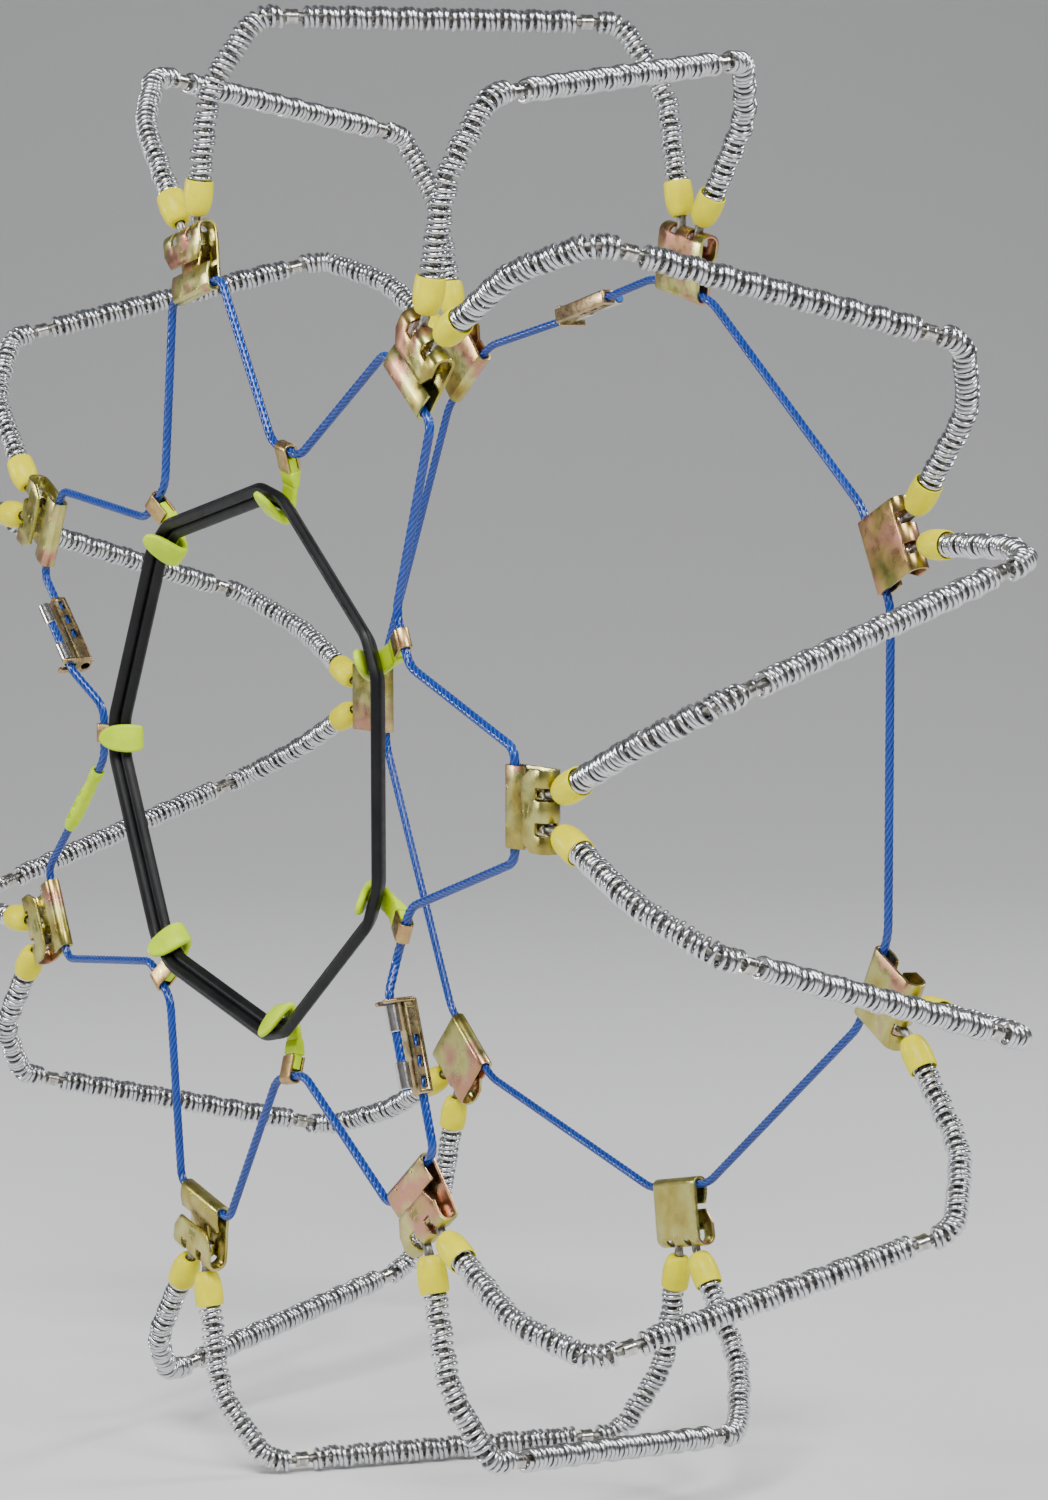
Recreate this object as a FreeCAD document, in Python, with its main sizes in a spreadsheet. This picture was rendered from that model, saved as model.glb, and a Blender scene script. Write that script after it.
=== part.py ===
import FreeCAD, Part
import math
import os

import Sketcher

# Cable snow chain for one truck wheel, as it sits on the tyre.
# Origin: centre of the wheel.  The wheel turns about Y, -Y is the outer (kerb) side, +Z is up.
# Angles round the wheel run from +Z towards +X.  "depth" is the distance from the wheel's
# middle plane, positive towards the outer side.
# Each clip and hook has a station frame: X along the rim, Y away from the tyre, Z radial.

V = FreeCAD.Vector
doc = FreeCAD.newDocument("snow_chain")
sheet = doc.addObject("Spreadsheet::Sheet", "Dims")

DIMENSIONS = [
    ("clip_count", 7), ("first_clip_angle", -13),
    # how far a cutting sketch stays clear of, or passes beyond, the faces next to it:
    ("margin", 0.5), ("overshoot", 1),
    # side cables
    ("side_depth", 157), ("side_cable_r", 3.1), ("clip_radius", 335), ("clip_corner", 36),
    ("clip_bend_r", 12), ("inner_corner", 37), ("inner_bend_r", 40), ("hook_radius", 223),
    ("hook_corner", 19), ("hook_bend_r", 22),
    # clips: folded from one sheet, with a flap over a narrower tongue
    ("sheet", 2.4), ("clip_half", 26.5), ("roll_gap", 3.4), ("roll_r", 2.8), ("clip_far", 380),
    ("fold_gap", 5.6), ("fold_r", 5), ("flap_end", 353.5), ("flap_cut", 7), ("flap_cut_end", 364),
    ("lean_from", 341), ("tongue_end", 360), ("tongue_gap", -2), ("tongue_half", 11.5),
    ("shoulder_at", 349.5), ("slot_pitch", 11), ("slot_width", 8.4), ("slot_from", 369),
    ("slot_back", 4),
    ("dimple_r", 2), ("dimple_at", 12.3), ("dimple_radius", 333.5), ("dimple_deep", 0.9),
    # cross cables and what is threaded on them
    ("cross_cable_r", 3.25), ("sleeve_r", 4.8), ("sleeve_length", 10), ("end_radius", 363.5),
    ("turn_radius", 383), ("turn_bend_r", 12), ("wall_radius", 470), ("wall_lag", 6),
    ("wall_depth", 156), ("wall_bend_r", 70), ("shoulder_radius", 518), ("shoulder_lag", 8.5),
    ("shoulder_depth", 127), ("shoulder_bend_r", 24), ("coil_r", 8.5), ("coil_bore_r", 4.9),
    ("coil_past_bend", 6), ("coil_gap", 12), ("stop_length", 9), ("stop_r", 5.6),
    ("cap_start", 3), ("cap_length", 25), ("cap_r", 10.4), ("cap_neck_r", 6.8), ("cap_mouth_r", 9.8),
    ("cap_taper", 7), ("cap_taper_r", 9.7), ("cap_belly", 12.5), ("cap_belly_end", 19.5),
    ("cap_bore_r", 3.6), ("cap_inside_r", 8.9), ("cap_floor", 7.5), ("coil_in_cap", 10),
    # rubber tensioner ring: a flat band, turned to lie like part of a cone
    ("ring_radius", 189), ("ring_thickness", 8), ("ring_width", 16.5), ("ring_depth", 161.5),
    ("ring_tilt", 45), ("ring_flat", 28), ("ring_bend_r", 20), ("ring_edge_r", 3.4),
    ("ring_groove", 3.2), ("ring_groove_w", 2.2), ("ring_groove_r", 0.6),
    # ring hooks and their straps; "below" is measured from the side cable along the tilted strap,
    # and the lip lies at 45 degrees, with radius = depth + lip_in or lip_out on its two faces
    ("hook_half", 9.5), ("hook_back", 147.6), ("hook_front", 152.6), ("lip_in", 19.6),
    ("lip_out", 12.5), ("lip_tip", 171.8), ("hook_curl_r", 10.5), ("hook_inner_r", 5.5),
    ("hook_tip_r", 2.2), ("stem_back_top", 203), ("stem_front_top", 200), ("head_half", 2.9),
    ("head_below", 4.8), ("shoulder_below", 15.4), ("shoulder_half", 4.5),
    ("strap_tilt", 20), ("strap_sheet", 1.8), ("strap_bore_r", 3.4), ("strap_half", 7),
    ("strap_below", 14.6),
    # cable connectors
    ("plate_start", 41), ("plate_end", 106), ("tab_sheet", 3), ("plate_sheet", 2), ("plate_bore", 3.6),
    ("tail_rise", 12), ("rise_to", 36.5), ("rise_bend_r", 18), ("tail_end", 102.5),
    ("cable_in_plate", 54), ("tab_top", 20), ("tab_half", 8), ("fork_half", 3.5), ("fork_low", 8.4),
    ("window_length", 8), ("window_pitch", 14), ("window_from", 66), ("window_half", 2.4),
    ("ferrule_r", 4.6), ("ferrule_length", 18.5), ("ferrule_first", 44.4), ("ferrule_last", 83),
    ("crimp_gap", 0.05), ("inner_connector_shift", 60), ("second_connector_shift", -12),
    # cable grip
    ("grip_from", 14), ("grip_to", 82), ("grip_r", 5.6), ("grip_waist_r", 5), ("grip_end_r", 4.4),
    ("grip_bore_r", 3.4), ("grip_lip", 3), ("grip_waist_end", 31), ("grip_swell", 48),
    ("grip_taper", 8), ("grip_slot", 8), ("grip_slot_from", 38), ("grip_slot_pitch", 13),
    ("grip_slot_depth", 1.7), ("grip_slot_w", 3.4),
]
for row, (alias, number) in enumerate(DIMENSIONS, start=1):
    sheet.set("A%d" % row, alias.replace("_", " "))
    sheet.set("B%d" % row, str(number))
    sheet.setAlias("B%d" % row, alias)
doc.recompute()


def value(expression):
    """The number that a spreadsheet expression stands for."""
    result = sheet.evalExpression(expression)
    return float(getattr(result, "Value", result))


class Sizes:
    """Reads a driving dimension by its name."""

    def __getattr__(self, name):
        return value("Dims." + name)


size = Sizes()
COUNT = int(size.clip_count)
PITCH = 360.0 / COUNT
OUTER_SIDE, INNER_SIDE = 1, -1

nodes = []          # (node name, document object)


def keep(label, item):
    item.Label = label
    nodes.append((label, item))
    return item


# ---------------------------------------------------------------- frames and paths

def clip_angle(k, side=OUTER_SIDE):
    """Outer clips, and inner clips half a pitch further on."""
    return size.first_clip_angle + PITCH * (k if side == OUTER_SIDE else k + 0.5)


def hook_angle(k):
    return clip_angle(k) + PITCH / 2


def station(angle, side=OUTER_SIDE):
    """Placement of a station frame at an angle round the wheel."""
    turn = FreeCAD.Rotation(V(0, 1, 0), angle)
    if side == OUTER_SIDE:
        turn = turn * FreeCAD.Rotation(V(0, 0, 1), 180)
    return FreeCAD.Placement(V(), turn)


def wheel_point(radius, angle, depth):
    a = math.radians(angle)
    return V(radius * math.sin(a), -depth, radius * math.cos(a))


def rim_point(radius, along, angle, depth):
    """A point given by its distance along the rim from the line at an angle."""
    a = math.radians(angle)
    return V(radius * math.sin(a) + along * math.cos(a), -depth,
             radius * math.cos(a) - along * math.sin(a))


def rounded_wire(points, radii):
    """Straight runs joined by tangent arcs; radii has one entry for each inner point."""
    edges = []
    start = points[0]
    for before, corner, after, radius in zip(points, points[1:], points[2:], radii):
        into = (corner - before).normalize()
        out = (after - corner).normalize()
        half = math.acos(max(-1.0, min(1.0, into.dot(out)))) / 2
        reach = radius * math.tan(half)
        first = corner - into * reach
        last = corner + out * reach
        if (first - start).dot(into) < -1e-6 or (after - last).dot(out) < -1e-6:
            raise ValueError("two arcs of a route overlap")
        middle = corner + (out - into).normalize() * (radius / math.cos(half) - radius)
        edges.append(Part.LineSegment(start, first).toShape())
        edges.append(Part.Arc(first, middle, last).toShape())
        start = last
    edges.append(Part.LineSegment(start, points[-1]).toShape())
    return Part.Wire(edges)


def bend_reach(points, k, radius):
    """Distance from corner k to where its arc begins."""
    into = (points[k] - points[k - 1]).normalize()
    out = (points[k + 1] - points[k]).normalize()
    return radius * math.tan(math.acos(into.dot(out)) / 2)


def disc(centre, direction, radius):
    return Part.Face(Part.Wire(Part.makeCircle(radius, centre, direction)))


def tube_along(points, radii, outer_r, inner_r=0.0):
    """A round cable or tube along straight runs and arcs, checked against section x length."""
    path = rounded_wire(points, radii)
    ahead = points[1] - points[0]
    solid = path.makePipe(disc(points[0], ahead, outer_r))
    if inner_r:
        solid = solid.cut(path.makePipe(disc(points[0], ahead, inner_r)))
    expected = math.pi * (outer_r ** 2 - inner_r ** 2) * path.Length
    if abs(solid.Volume - expected) > 0.01 * expected:
        raise ValueError("a swept tube holds %.0f, not %.0f" % (solid.Volume, expected))
    return solid


def sleeve(start, direction, length, outer_r, inner_r):
    """A straight tube."""
    outer = Part.makeCylinder(outer_r, length, start, direction)
    return outer.cut(Part.makeCylinder(inner_r, length, start, direction))


def group(label, solids):
    item = doc.addObject("Part::Feature", label)
    item.Shape = Part.makeCompound(solids)
    return keep(label, item)


# ---------------------------------------------------------------- sketch helpers

def new_body(label, place):
    body = doc.addObject("PartDesign::Body", label)
    body.Placement = place
    return body


def new_sketch(body, role, name, offset=0.0):
    """A sketch on one of the body's own planes, moved along the plane's normal."""
    plane = [f for f in body.Origin.OriginFeatures if f.Role == role][0]
    sketch = body.newObject("Sketcher::SketchObject", name)
    sketch.AttachmentSupport = [(plane, "")]
    sketch.MapMode = "FlatFace"
    sketch.AttachmentOffset = FreeCAD.Placement(V(0, 0, offset), FreeCAD.Rotation())
    return sketch


def bind(sketch, kind, geometry, expression):
    """Adds a sized constraint that follows a spreadsheet expression."""
    number = sketch.addConstraint(Sketcher.Constraint(kind, *geometry, value(expression)))
    sketch.setExpression("Constraints[%d]" % number, expression)


def outline(sketch, corners):
    """A closed straight-sided outline; each corner is a pair of expressions."""
    spots = [V(value(x), value(y), 0) for x, y in corners]
    first = sketch.GeometryCount
    count = len(spots)
    for k in range(count):
        sketch.addGeometry(Part.LineSegment(spots[k], spots[(k + 1) % count]), False)
    for k in range(count):
        following = first + (k + 1) % count
        sketch.addConstraint(Sketcher.Constraint("Coincident", first + k, 2, following, 1))
    for k, (x, y) in enumerate(corners):
        bind(sketch, "DistanceX", (-1, 1, first + k, 1), x)
        bind(sketch, "DistanceY", (-1, 1, first + k, 1), y)


def circle(sketch, x, y, radius):
    first = sketch.addGeometry(Part.Circle(V(value(x), value(y), 0), V(0, 0, 1), value(radius)), False)
    bind(sketch, "DistanceX", (-1, 1, first, 3), x)
    bind(sketch, "DistanceY", (-1, 1, first, 3), y)
    bind(sketch, "Radius", (first,), radius)


def pad(body, sketch, length, both_ways=True):
    feature = body.newObject("PartDesign::Pad", "Pad")
    feature.Profile = sketch
    if both_ways:
        feature.SideType = "Symmetric"
    feature.setExpression("Length", length)
    sketch.Visibility = False
    doc.recompute()
    return feature


def pocket(body, sketch, length, both_ways=False, reverse=False):
    """Cuts a sketch out of the body and makes sure that it takes something away."""
    before = body.Shape.Volume
    feature = body.newObject("PartDesign::Pocket", "Pocket")
    feature.Profile = sketch
    if both_ways:
        feature.SideType = "Symmetric"
    feature.Reversed = reverse
    feature.setExpression("Length", length)
    doc.recompute()
    if body.Shape.Volume > before - 0.5:
        raise ValueError("a pocket in %s cuts nothing" % body.Label)
    return feature


def round_edges(body, wanted, radius):
    """Fillets the edges of the body for which wanted(edge) is true."""
    base = body.Tip
    names = ["Edge%d" % (k + 1) for k, edge in enumerate(base.Shape.Edges) if wanted(edge)]
    feature = body.newObject("PartDesign::Fillet", "Fillet")
    feature.Base = (base, names)
    feature.setExpression("Radius", radius)
    doc.recompute()
    return feature


# ---------------------------------------------------------------- clips

def along_x(edge):
    return len(edge.Vertexes) == 2 and abs(edge.tangentAt(edge.FirstParameter).x) > 0.999


def at(edge, y, z):
    spot = edge.CenterOfMass
    return abs(spot.y - y) < 0.1 and abs(spot.z - z) < 0.1


def round_corners(body, corners, radius):
    """Fillets the edges along X that pass through the given (y, z) expressions."""
    spots = [(value(y), value(z)) for y, z in corners]
    round_edges(body, lambda e: along_x(e) and any(at(e, y, z) for y, z in spots), radius)


def build_clip(label, angle, side):
    """One folded sheet.  Its roll holds the side cable, its tongue leans back behind the flap, and
    the ends of two cross cables hang in the slots of the outer fold."""
    body = new_body(label, station(angle, side))
    front, back = "Dims.side_depth + Dims.fold_gap", "Dims.side_depth - Dims.fold_gap"
    roll_front, roll_back = "Dims.side_depth + Dims.roll_gap", "Dims.side_depth - Dims.roll_gap"
    tongue = "Dims.side_depth + Dims.tongue_gap"
    low, high = "Dims.clip_radius - Dims.roll_gap", "Dims.clip_far - Dims.sheet"
    thick = " + Dims.sheet"
    thin = " - Dims.sheet"
    fold = new_sketch(body, "YZ_Plane", "fold")
    outline(fold, [(front + thick, "Dims.flap_end"), (front + thick, "Dims.clip_far"),
                   (back + thin, "Dims.clip_far"), (roll_back + thin, low + thin),
                   (roll_front + thick, low + thin), (roll_front + thick, "Dims.lean_from"),
                   (tongue + thick, "Dims.tongue_end"), (tongue, "Dims.tongue_end"),
                   (roll_front, "Dims.lean_from"), (roll_front, low), (roll_back, low),
                   (back, high), (front, high), (front, "Dims.flap_end")])
    pad(body, fold, "2 * Dims.clip_half")
    round_corners(body, [(front + thick, "Dims.clip_far"), (back + thin, "Dims.clip_far")],
                  "Dims.fold_r + Dims.sheet")
    round_corners(body, [(front, high), (back, high)], "Dims.fold_r")
    round_corners(body, [(roll_back + thin, low + thin), (roll_front + thick, low + thin)],
                  "Dims.roll_r + Dims.sheet")
    round_corners(body, [(roll_back, low), (roll_front, low)], "Dims.roll_r")

    slots = new_sketch(body, "XZ_Plane", "slots", -value("Dims.side_depth - Dims.slot_back"))
    shoulders = new_sketch(body, "XZ_Plane", "shoulders", -value(back + thick))
    flap_corners = new_sketch(body, "XZ_Plane", "flap_corners", -value(front + " - Dims.margin"))
    dimples = new_sketch(body, "XZ_Plane", "dimples", -value(roll_front + thick + " - Dims.dimple_deep"))
    outside = "(Dims.clip_half + Dims.overshoot)"
    beyond_fold = "Dims.clip_far + Dims.overshoot"
    beyond_tongue = "Dims.tongue_end + Dims.overshoot"
    before_flap = "Dims.flap_end - Dims.overshoot"
    for sign in ("-", ""):
        near = sign + "(Dims.slot_pitch - Dims.slot_width / 2)"
        far = sign + "(Dims.slot_pitch + Dims.slot_width / 2)"
        outline(slots, [(near, "Dims.slot_from"), (far, "Dims.slot_from"),
                        (far, beyond_fold), (near, beyond_fold)])
        outline(shoulders, [(sign + "Dims.tongue_half", "Dims.shoulder_at"),
                            (sign + outside, "Dims.shoulder_at"),
                            (sign + outside, beyond_tongue),
                            (sign + "Dims.tongue_half", beyond_tongue)])
        outline(flap_corners, [(sign + "(Dims.clip_half - Dims.flap_cut)", before_flap),
                               (sign + outside, before_flap), (sign + outside, "Dims.flap_cut_end"),
                               (sign + "Dims.clip_half", "Dims.flap_cut_end")])
        circle(dimples, sign + "Dims.dimple_at", "Dims.dimple_radius", "Dims.dimple_r")
    pocket(body, slots, "Dims.slot_back + 2 * Dims.fold_gap")
    pocket(body, shoulders, "2 * Dims.fold_gap - Dims.sheet - Dims.margin")
    pocket(body, flap_corners, "2 * Dims.sheet")
    pocket(body, dimples, "Dims.sheet")
    return keep(label, body)


# ---------------------------------------------------------------- ring hooks and straps

def on_strap(below, across):
    """A (y, z) pair of expressions, measured from the side cable down and across the strap."""
    sine, cosine = "sin(Dims.strap_tilt * 1 deg)", "cos(Dims.strap_tilt * 1 deg)"
    return ("Dims.side_depth - Dims.%s * %s + %s * %s" % (below, sine, across, cosine),
            "Dims.hook_radius - Dims.%s * %s - %s * %s" % (below, cosine, across, sine))


def build_hook(label, angle):
    """A moulded J: a head between the strap's legs, a stem behind the ring, and a lip that lies
    along the ring's tilted face."""
    body = new_body(label, FreeCAD.Placement())
    tip_step = "(Dims.lip_in - Dims.lip_out) / 2"
    outer_corner = ("Dims.hook_back", "Dims.hook_back + Dims.lip_out")
    inner_corner = ("Dims.hook_front", "Dims.hook_front + Dims.lip_in")
    outer_tip = ("Dims.lip_tip + " + tip_step, "Dims.lip_tip + Dims.lip_in - " + tip_step)
    inner_tip = ("Dims.lip_tip", "Dims.lip_tip + Dims.lip_in")
    profile = new_sketch(body, "YZ_Plane", "profile")
    outline(profile, [on_strap("head_below", "-Dims.head_half"),
                      on_strap("shoulder_below", "-Dims.head_half"),
                      on_strap("shoulder_below", "-Dims.shoulder_half"),
                      ("Dims.hook_back", "Dims.stem_back_top"), outer_corner, outer_tip, inner_tip,
                      inner_corner, ("Dims.hook_front", "Dims.stem_front_top"),
                      on_strap("shoulder_below", "Dims.shoulder_half"),
                      on_strap("shoulder_below", "Dims.head_half"),
                      on_strap("head_below", "Dims.head_half")])
    pad(body, profile, "2 * Dims.hook_half")
    round_corners(body, [outer_corner], "Dims.hook_curl_r")
    round_corners(body, [inner_corner], "Dims.hook_inner_r")
    round_corners(body, [outer_tip, inner_tip], "Dims.hook_tip_r")
    body.Placement = station(angle)
    return keep(label, body)


def build_strap(label, angle):
    """A steel strap folded over the side cable, tilted, with its legs on both sides of the
    hook's head."""
    tilt = FreeCAD.Rotation(V(1, 0, 0), -size.strap_tilt)
    pivot = V(0, size.side_depth, size.hook_radius)
    body = new_body(label, station(angle).multiply(FreeCAD.Placement(V(), tilt, pivot)))
    band = new_sketch(body, "YZ_Plane", "band")
    y, z, r = size.side_depth, size.hook_radius, size.strap_bore_r
    end = z - size.strap_below
    outer = r + size.strap_sheet
    centre = V(y, z, 0)
    band.addGeometry(Part.ArcOfCircle(Part.Circle(centre, V(0, 0, 1), outer), 0, math.pi), False)
    band.addGeometry(Part.LineSegment(V(y - outer, z, 0), V(y - outer, end, 0)), False)
    band.addGeometry(Part.LineSegment(V(y - outer, end, 0), V(y - r, end, 0)), False)
    band.addGeometry(Part.LineSegment(V(y - r, end, 0), V(y - r, z, 0)), False)
    band.addGeometry(Part.ArcOfCircle(Part.Circle(centre, V(0, 0, 1), r), 0, math.pi), False)
    band.addGeometry(Part.LineSegment(V(y + r, z, 0), V(y + r, end, 0)), False)
    band.addGeometry(Part.LineSegment(V(y + r, end, 0), V(y + outer, end, 0)), False)
    band.addGeometry(Part.LineSegment(V(y + outer, end, 0), V(y + outer, z, 0)), False)
    for a, a_end, b, b_end in ((0, 2, 1, 1), (3, 2, 4, 2), (4, 1, 5, 1), (7, 2, 0, 1)):
        band.addConstraint(Sketcher.Constraint("Tangent", a, a_end, b, b_end))
    for a, b in ((1, 2), (2, 3), (5, 6), (6, 7)):
        band.addConstraint(Sketcher.Constraint("Coincident", a, 2, b, 1))
    band.addConstraint(Sketcher.Constraint("Horizontal", 2))
    band.addConstraint(Sketcher.Constraint("Horizontal", 6))
    band.addConstraint(Sketcher.Constraint("Vertical", 1))
    band.addConstraint(Sketcher.Constraint("Vertical", 5))
    band.addConstraint(Sketcher.Constraint("Vertical", 3))
    band.addConstraint(Sketcher.Constraint("Coincident", 0, 3, 4, 3))
    bind(band, "DistanceX", (-1, 1, 0, 3), "Dims.side_depth")
    bind(band, "DistanceY", (-1, 1, 0, 3), "Dims.hook_radius")
    bind(band, "Radius", (4,), "Dims.strap_bore_r")
    bind(band, "Radius", (0,), "Dims.strap_bore_r + Dims.strap_sheet")
    bind(band, "DistanceY", (-1, 1, 2, 1), "Dims.hook_radius - Dims.strap_below")
    bind(band, "DistanceY", (-1, 1, 6, 1), "Dims.hook_radius - Dims.strap_below")
    pad(body, band, "2 * Dims.strap_half")
    return keep(label, body)


# ---------------------------------------------------------------- rubber ring

def ring_path():
    """A seven-cornered loop with a short flat at every hook, in a plane across the axle."""
    corners = []
    for k in range(COUNT):
        corners.append(rim_point(size.ring_radius, -size.ring_flat / 2, hook_angle(k), size.ring_depth))
        corners.append(rim_point(size.ring_radius, size.ring_flat / 2, hook_angle(k), size.ring_depth))
    start = (corners[0] + corners[-1]) * 0.5
    return rounded_wire([start] + corners + [start], [size.ring_bend_r] * len(corners))


def ring_profile(centre, outward):
    """A rounded rectangle, tilted so that its grooved face looks at the axle and outwards."""
    tilt = math.radians(size.ring_tilt)
    towards_kerb = V(0, -1, 0)
    across = outward * math.cos(tilt) - towards_kerb * math.sin(tilt)
    along = outward * math.sin(tilt) + towards_kerb * math.cos(tilt)
    half_t, half_w = size.ring_thickness / 2, size.ring_width / 2
    half_g, floor = size.ring_groove_w / 2, size.ring_groove - size.ring_thickness / 2
    edge, soft = size.ring_edge_r, size.ring_groove_r
    corners = [(half_t, half_w, edge), (-half_t, half_w, edge), (-half_t, half_g, soft),
               (floor, half_g, soft), (floor, -half_g, soft), (-half_t, -half_g, soft),
               (-half_t, -half_w, edge), (half_t, -half_w, edge)]
    points = [centre + across * x + along * y for x, y, radius in corners]
    start = centre + across * half_t
    return Part.Face(rounded_wire([start] + points + [start], [radius for _, _, radius in corners]))


def build_ring():
    path = ring_path()
    middle = path.Vertexes[0].Point
    profile = ring_profile(middle, V(middle.x, 0, middle.z).normalize())
    ring = path.makePipe(profile)
    if abs(ring.Volume - profile.Area * path.Length) > 0.01 * ring.Volume:
        raise ValueError("the ring has the wrong volume")
    return group("tensioner_ring", [ring])


# ---------------------------------------------------------------- cross cables

def cross_route(k, way):
    """Corners of one cross cable, from outer clip k to the inner clip half a pitch along."""
    middle = clip_angle(k)

    def half_route(angle, direction, side):
        return [rim_point(size.end_radius, direction * size.slot_pitch, angle, side * size.side_depth),
                rim_point(size.turn_radius, direction * size.slot_pitch, angle, side * size.side_depth),
                wheel_point(size.wall_radius, angle + direction * size.wall_lag, side * size.wall_depth),
                wheel_point(size.shoulder_radius, angle + direction * size.shoulder_lag,
                            side * size.shoulder_depth)]

    outer = half_route(middle, way, OUTER_SIDE)
    inner = half_route(middle + way * PITCH / 2, -way, INNER_SIDE)
    return outer + inner[::-1]


def cross_bends():
    half = [size.turn_bend_r, size.wall_bend_r, size.shoulder_bend_r]
    return half + half[::-1]


def unit(start, end):
    return (end - start).normalize()


def side_coil(route):
    """The wound-wire roller from inside the cap to just past the shoulder."""
    start = route[1] + unit(route[1], route[2]) * (size.cap_start + size.coil_in_cap)
    past = bend_reach(route, 3, size.shoulder_bend_r) + size.coil_past_bend
    end = route[3] + unit(route[3], route[4]) * past
    return tube_along([start, route[2], route[3], end], [size.wall_bend_r, size.shoulder_bend_r],
                      size.coil_r, size.coil_bore_r)


def cap_body():
    """A barrel-shaped plastic cap, wide mouth over the coil, turned about its own X axis."""
    body = new_body("end_cap_shape", FreeCAD.Placement())
    half = new_sketch(body, "XY_Plane", "section")
    outline(half, [("Dims.cap_start", "Dims.cap_bore_r"), ("Dims.cap_start", "Dims.cap_neck_r"),
                   ("Dims.cap_start + Dims.cap_taper", "Dims.cap_taper_r"),
                   ("Dims.cap_start + Dims.cap_belly", "Dims.cap_r"),
                   ("Dims.cap_start + Dims.cap_belly_end", "Dims.cap_r"),
                   ("Dims.cap_start + Dims.cap_length", "Dims.cap_mouth_r"),
                   ("Dims.cap_start + Dims.cap_length", "Dims.cap_inside_r"),
                   ("Dims.cap_start + Dims.cap_floor", "Dims.cap_inside_r"),
                   ("Dims.cap_start + Dims.cap_floor", "Dims.cap_bore_r")])
    turned = body.newObject("PartDesign::Revolution", "Turned")
    turned.Profile = half
    turned.ReferenceAxis = (half, ["H_Axis"])
    turned.Angle = 360
    doc.recompute()
    return body


def aim(start, end):
    """Placement that puts a piece's X axis on the line from start to end."""
    return FreeCAD.Placement(start, FreeCAD.Rotation(V(1, 0, 0), unit(start, end)))


def build_tread_coil(label, route):
    """The roller across the tread, free to turn on its cable between the two stops."""
    direction = unit(route[3], route[4])
    lead = bend_reach(route, 3, size.shoulder_bend_r) + size.coil_past_bend + size.coil_gap
    length = (route[4] - route[3]).Length - 2 * lead
    body = new_body(label, FreeCAD.Placement())
    section = new_sketch(body, "XY_Plane", "section")
    for radius in ("Dims.coil_r", "Dims.coil_bore_r"):
        number = section.addGeometry(Part.Circle(V(), V(0, 0, 1), value(radius)), False)
        section.addConstraint(Sketcher.Constraint("Coincident", number, 3, -1, 1))
        bind(section, "Radius", (number,), radius)
    tube = body.newObject("PartDesign::Pad", "Tube")
    tube.Profile = section
    tube.Length = length
    body.Placement = FreeCAD.Placement(route[3] + direction * lead,
                                       FreeCAD.Rotation(V(0, 0, 1), direction))
    return keep(label, body)


# ---------------------------------------------------------------- side cables and connectors

def clip_corner(k, way, side=OUTER_SIDE):
    reach = size.clip_corner if side == OUTER_SIDE else size.inner_corner
    return rim_point(size.clip_radius, way * reach, clip_angle(k, side), side * size.side_depth)


def hook_corner(k, way):
    return rim_point(size.hook_radius, way * size.hook_corner, hook_angle(k), size.side_depth)


def run_point(start, towards, distance, lift=0.0, side=OUTER_SIDE):
    """A point on a straight run, lifted away from the tyre."""
    return start + unit(start, towards) * distance + V(0, -side * lift, 0)


def tail_points(start, towards, shift=0.0, side=OUTER_SIDE):
    """The end of a cable that rises from its last bend and passes through a connector's fork."""
    return [run_point(start, towards, size.rise_to + shift, size.tail_rise, side),
            run_point(start, towards, size.tail_end + shift, size.tail_rise, side)]


def connector_frame(start, towards, shift=0.0, side=OUTER_SIDE):
    """X along the run, Y away from the tyre, Z across the run."""
    x = unit(start, towards)
    y = V(0, -side, 0)
    z = x.cross(y)
    return FreeCAD.Placement(start + x * shift, FreeCAD.Rotation(x, y, z, "XYZ"))


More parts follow.
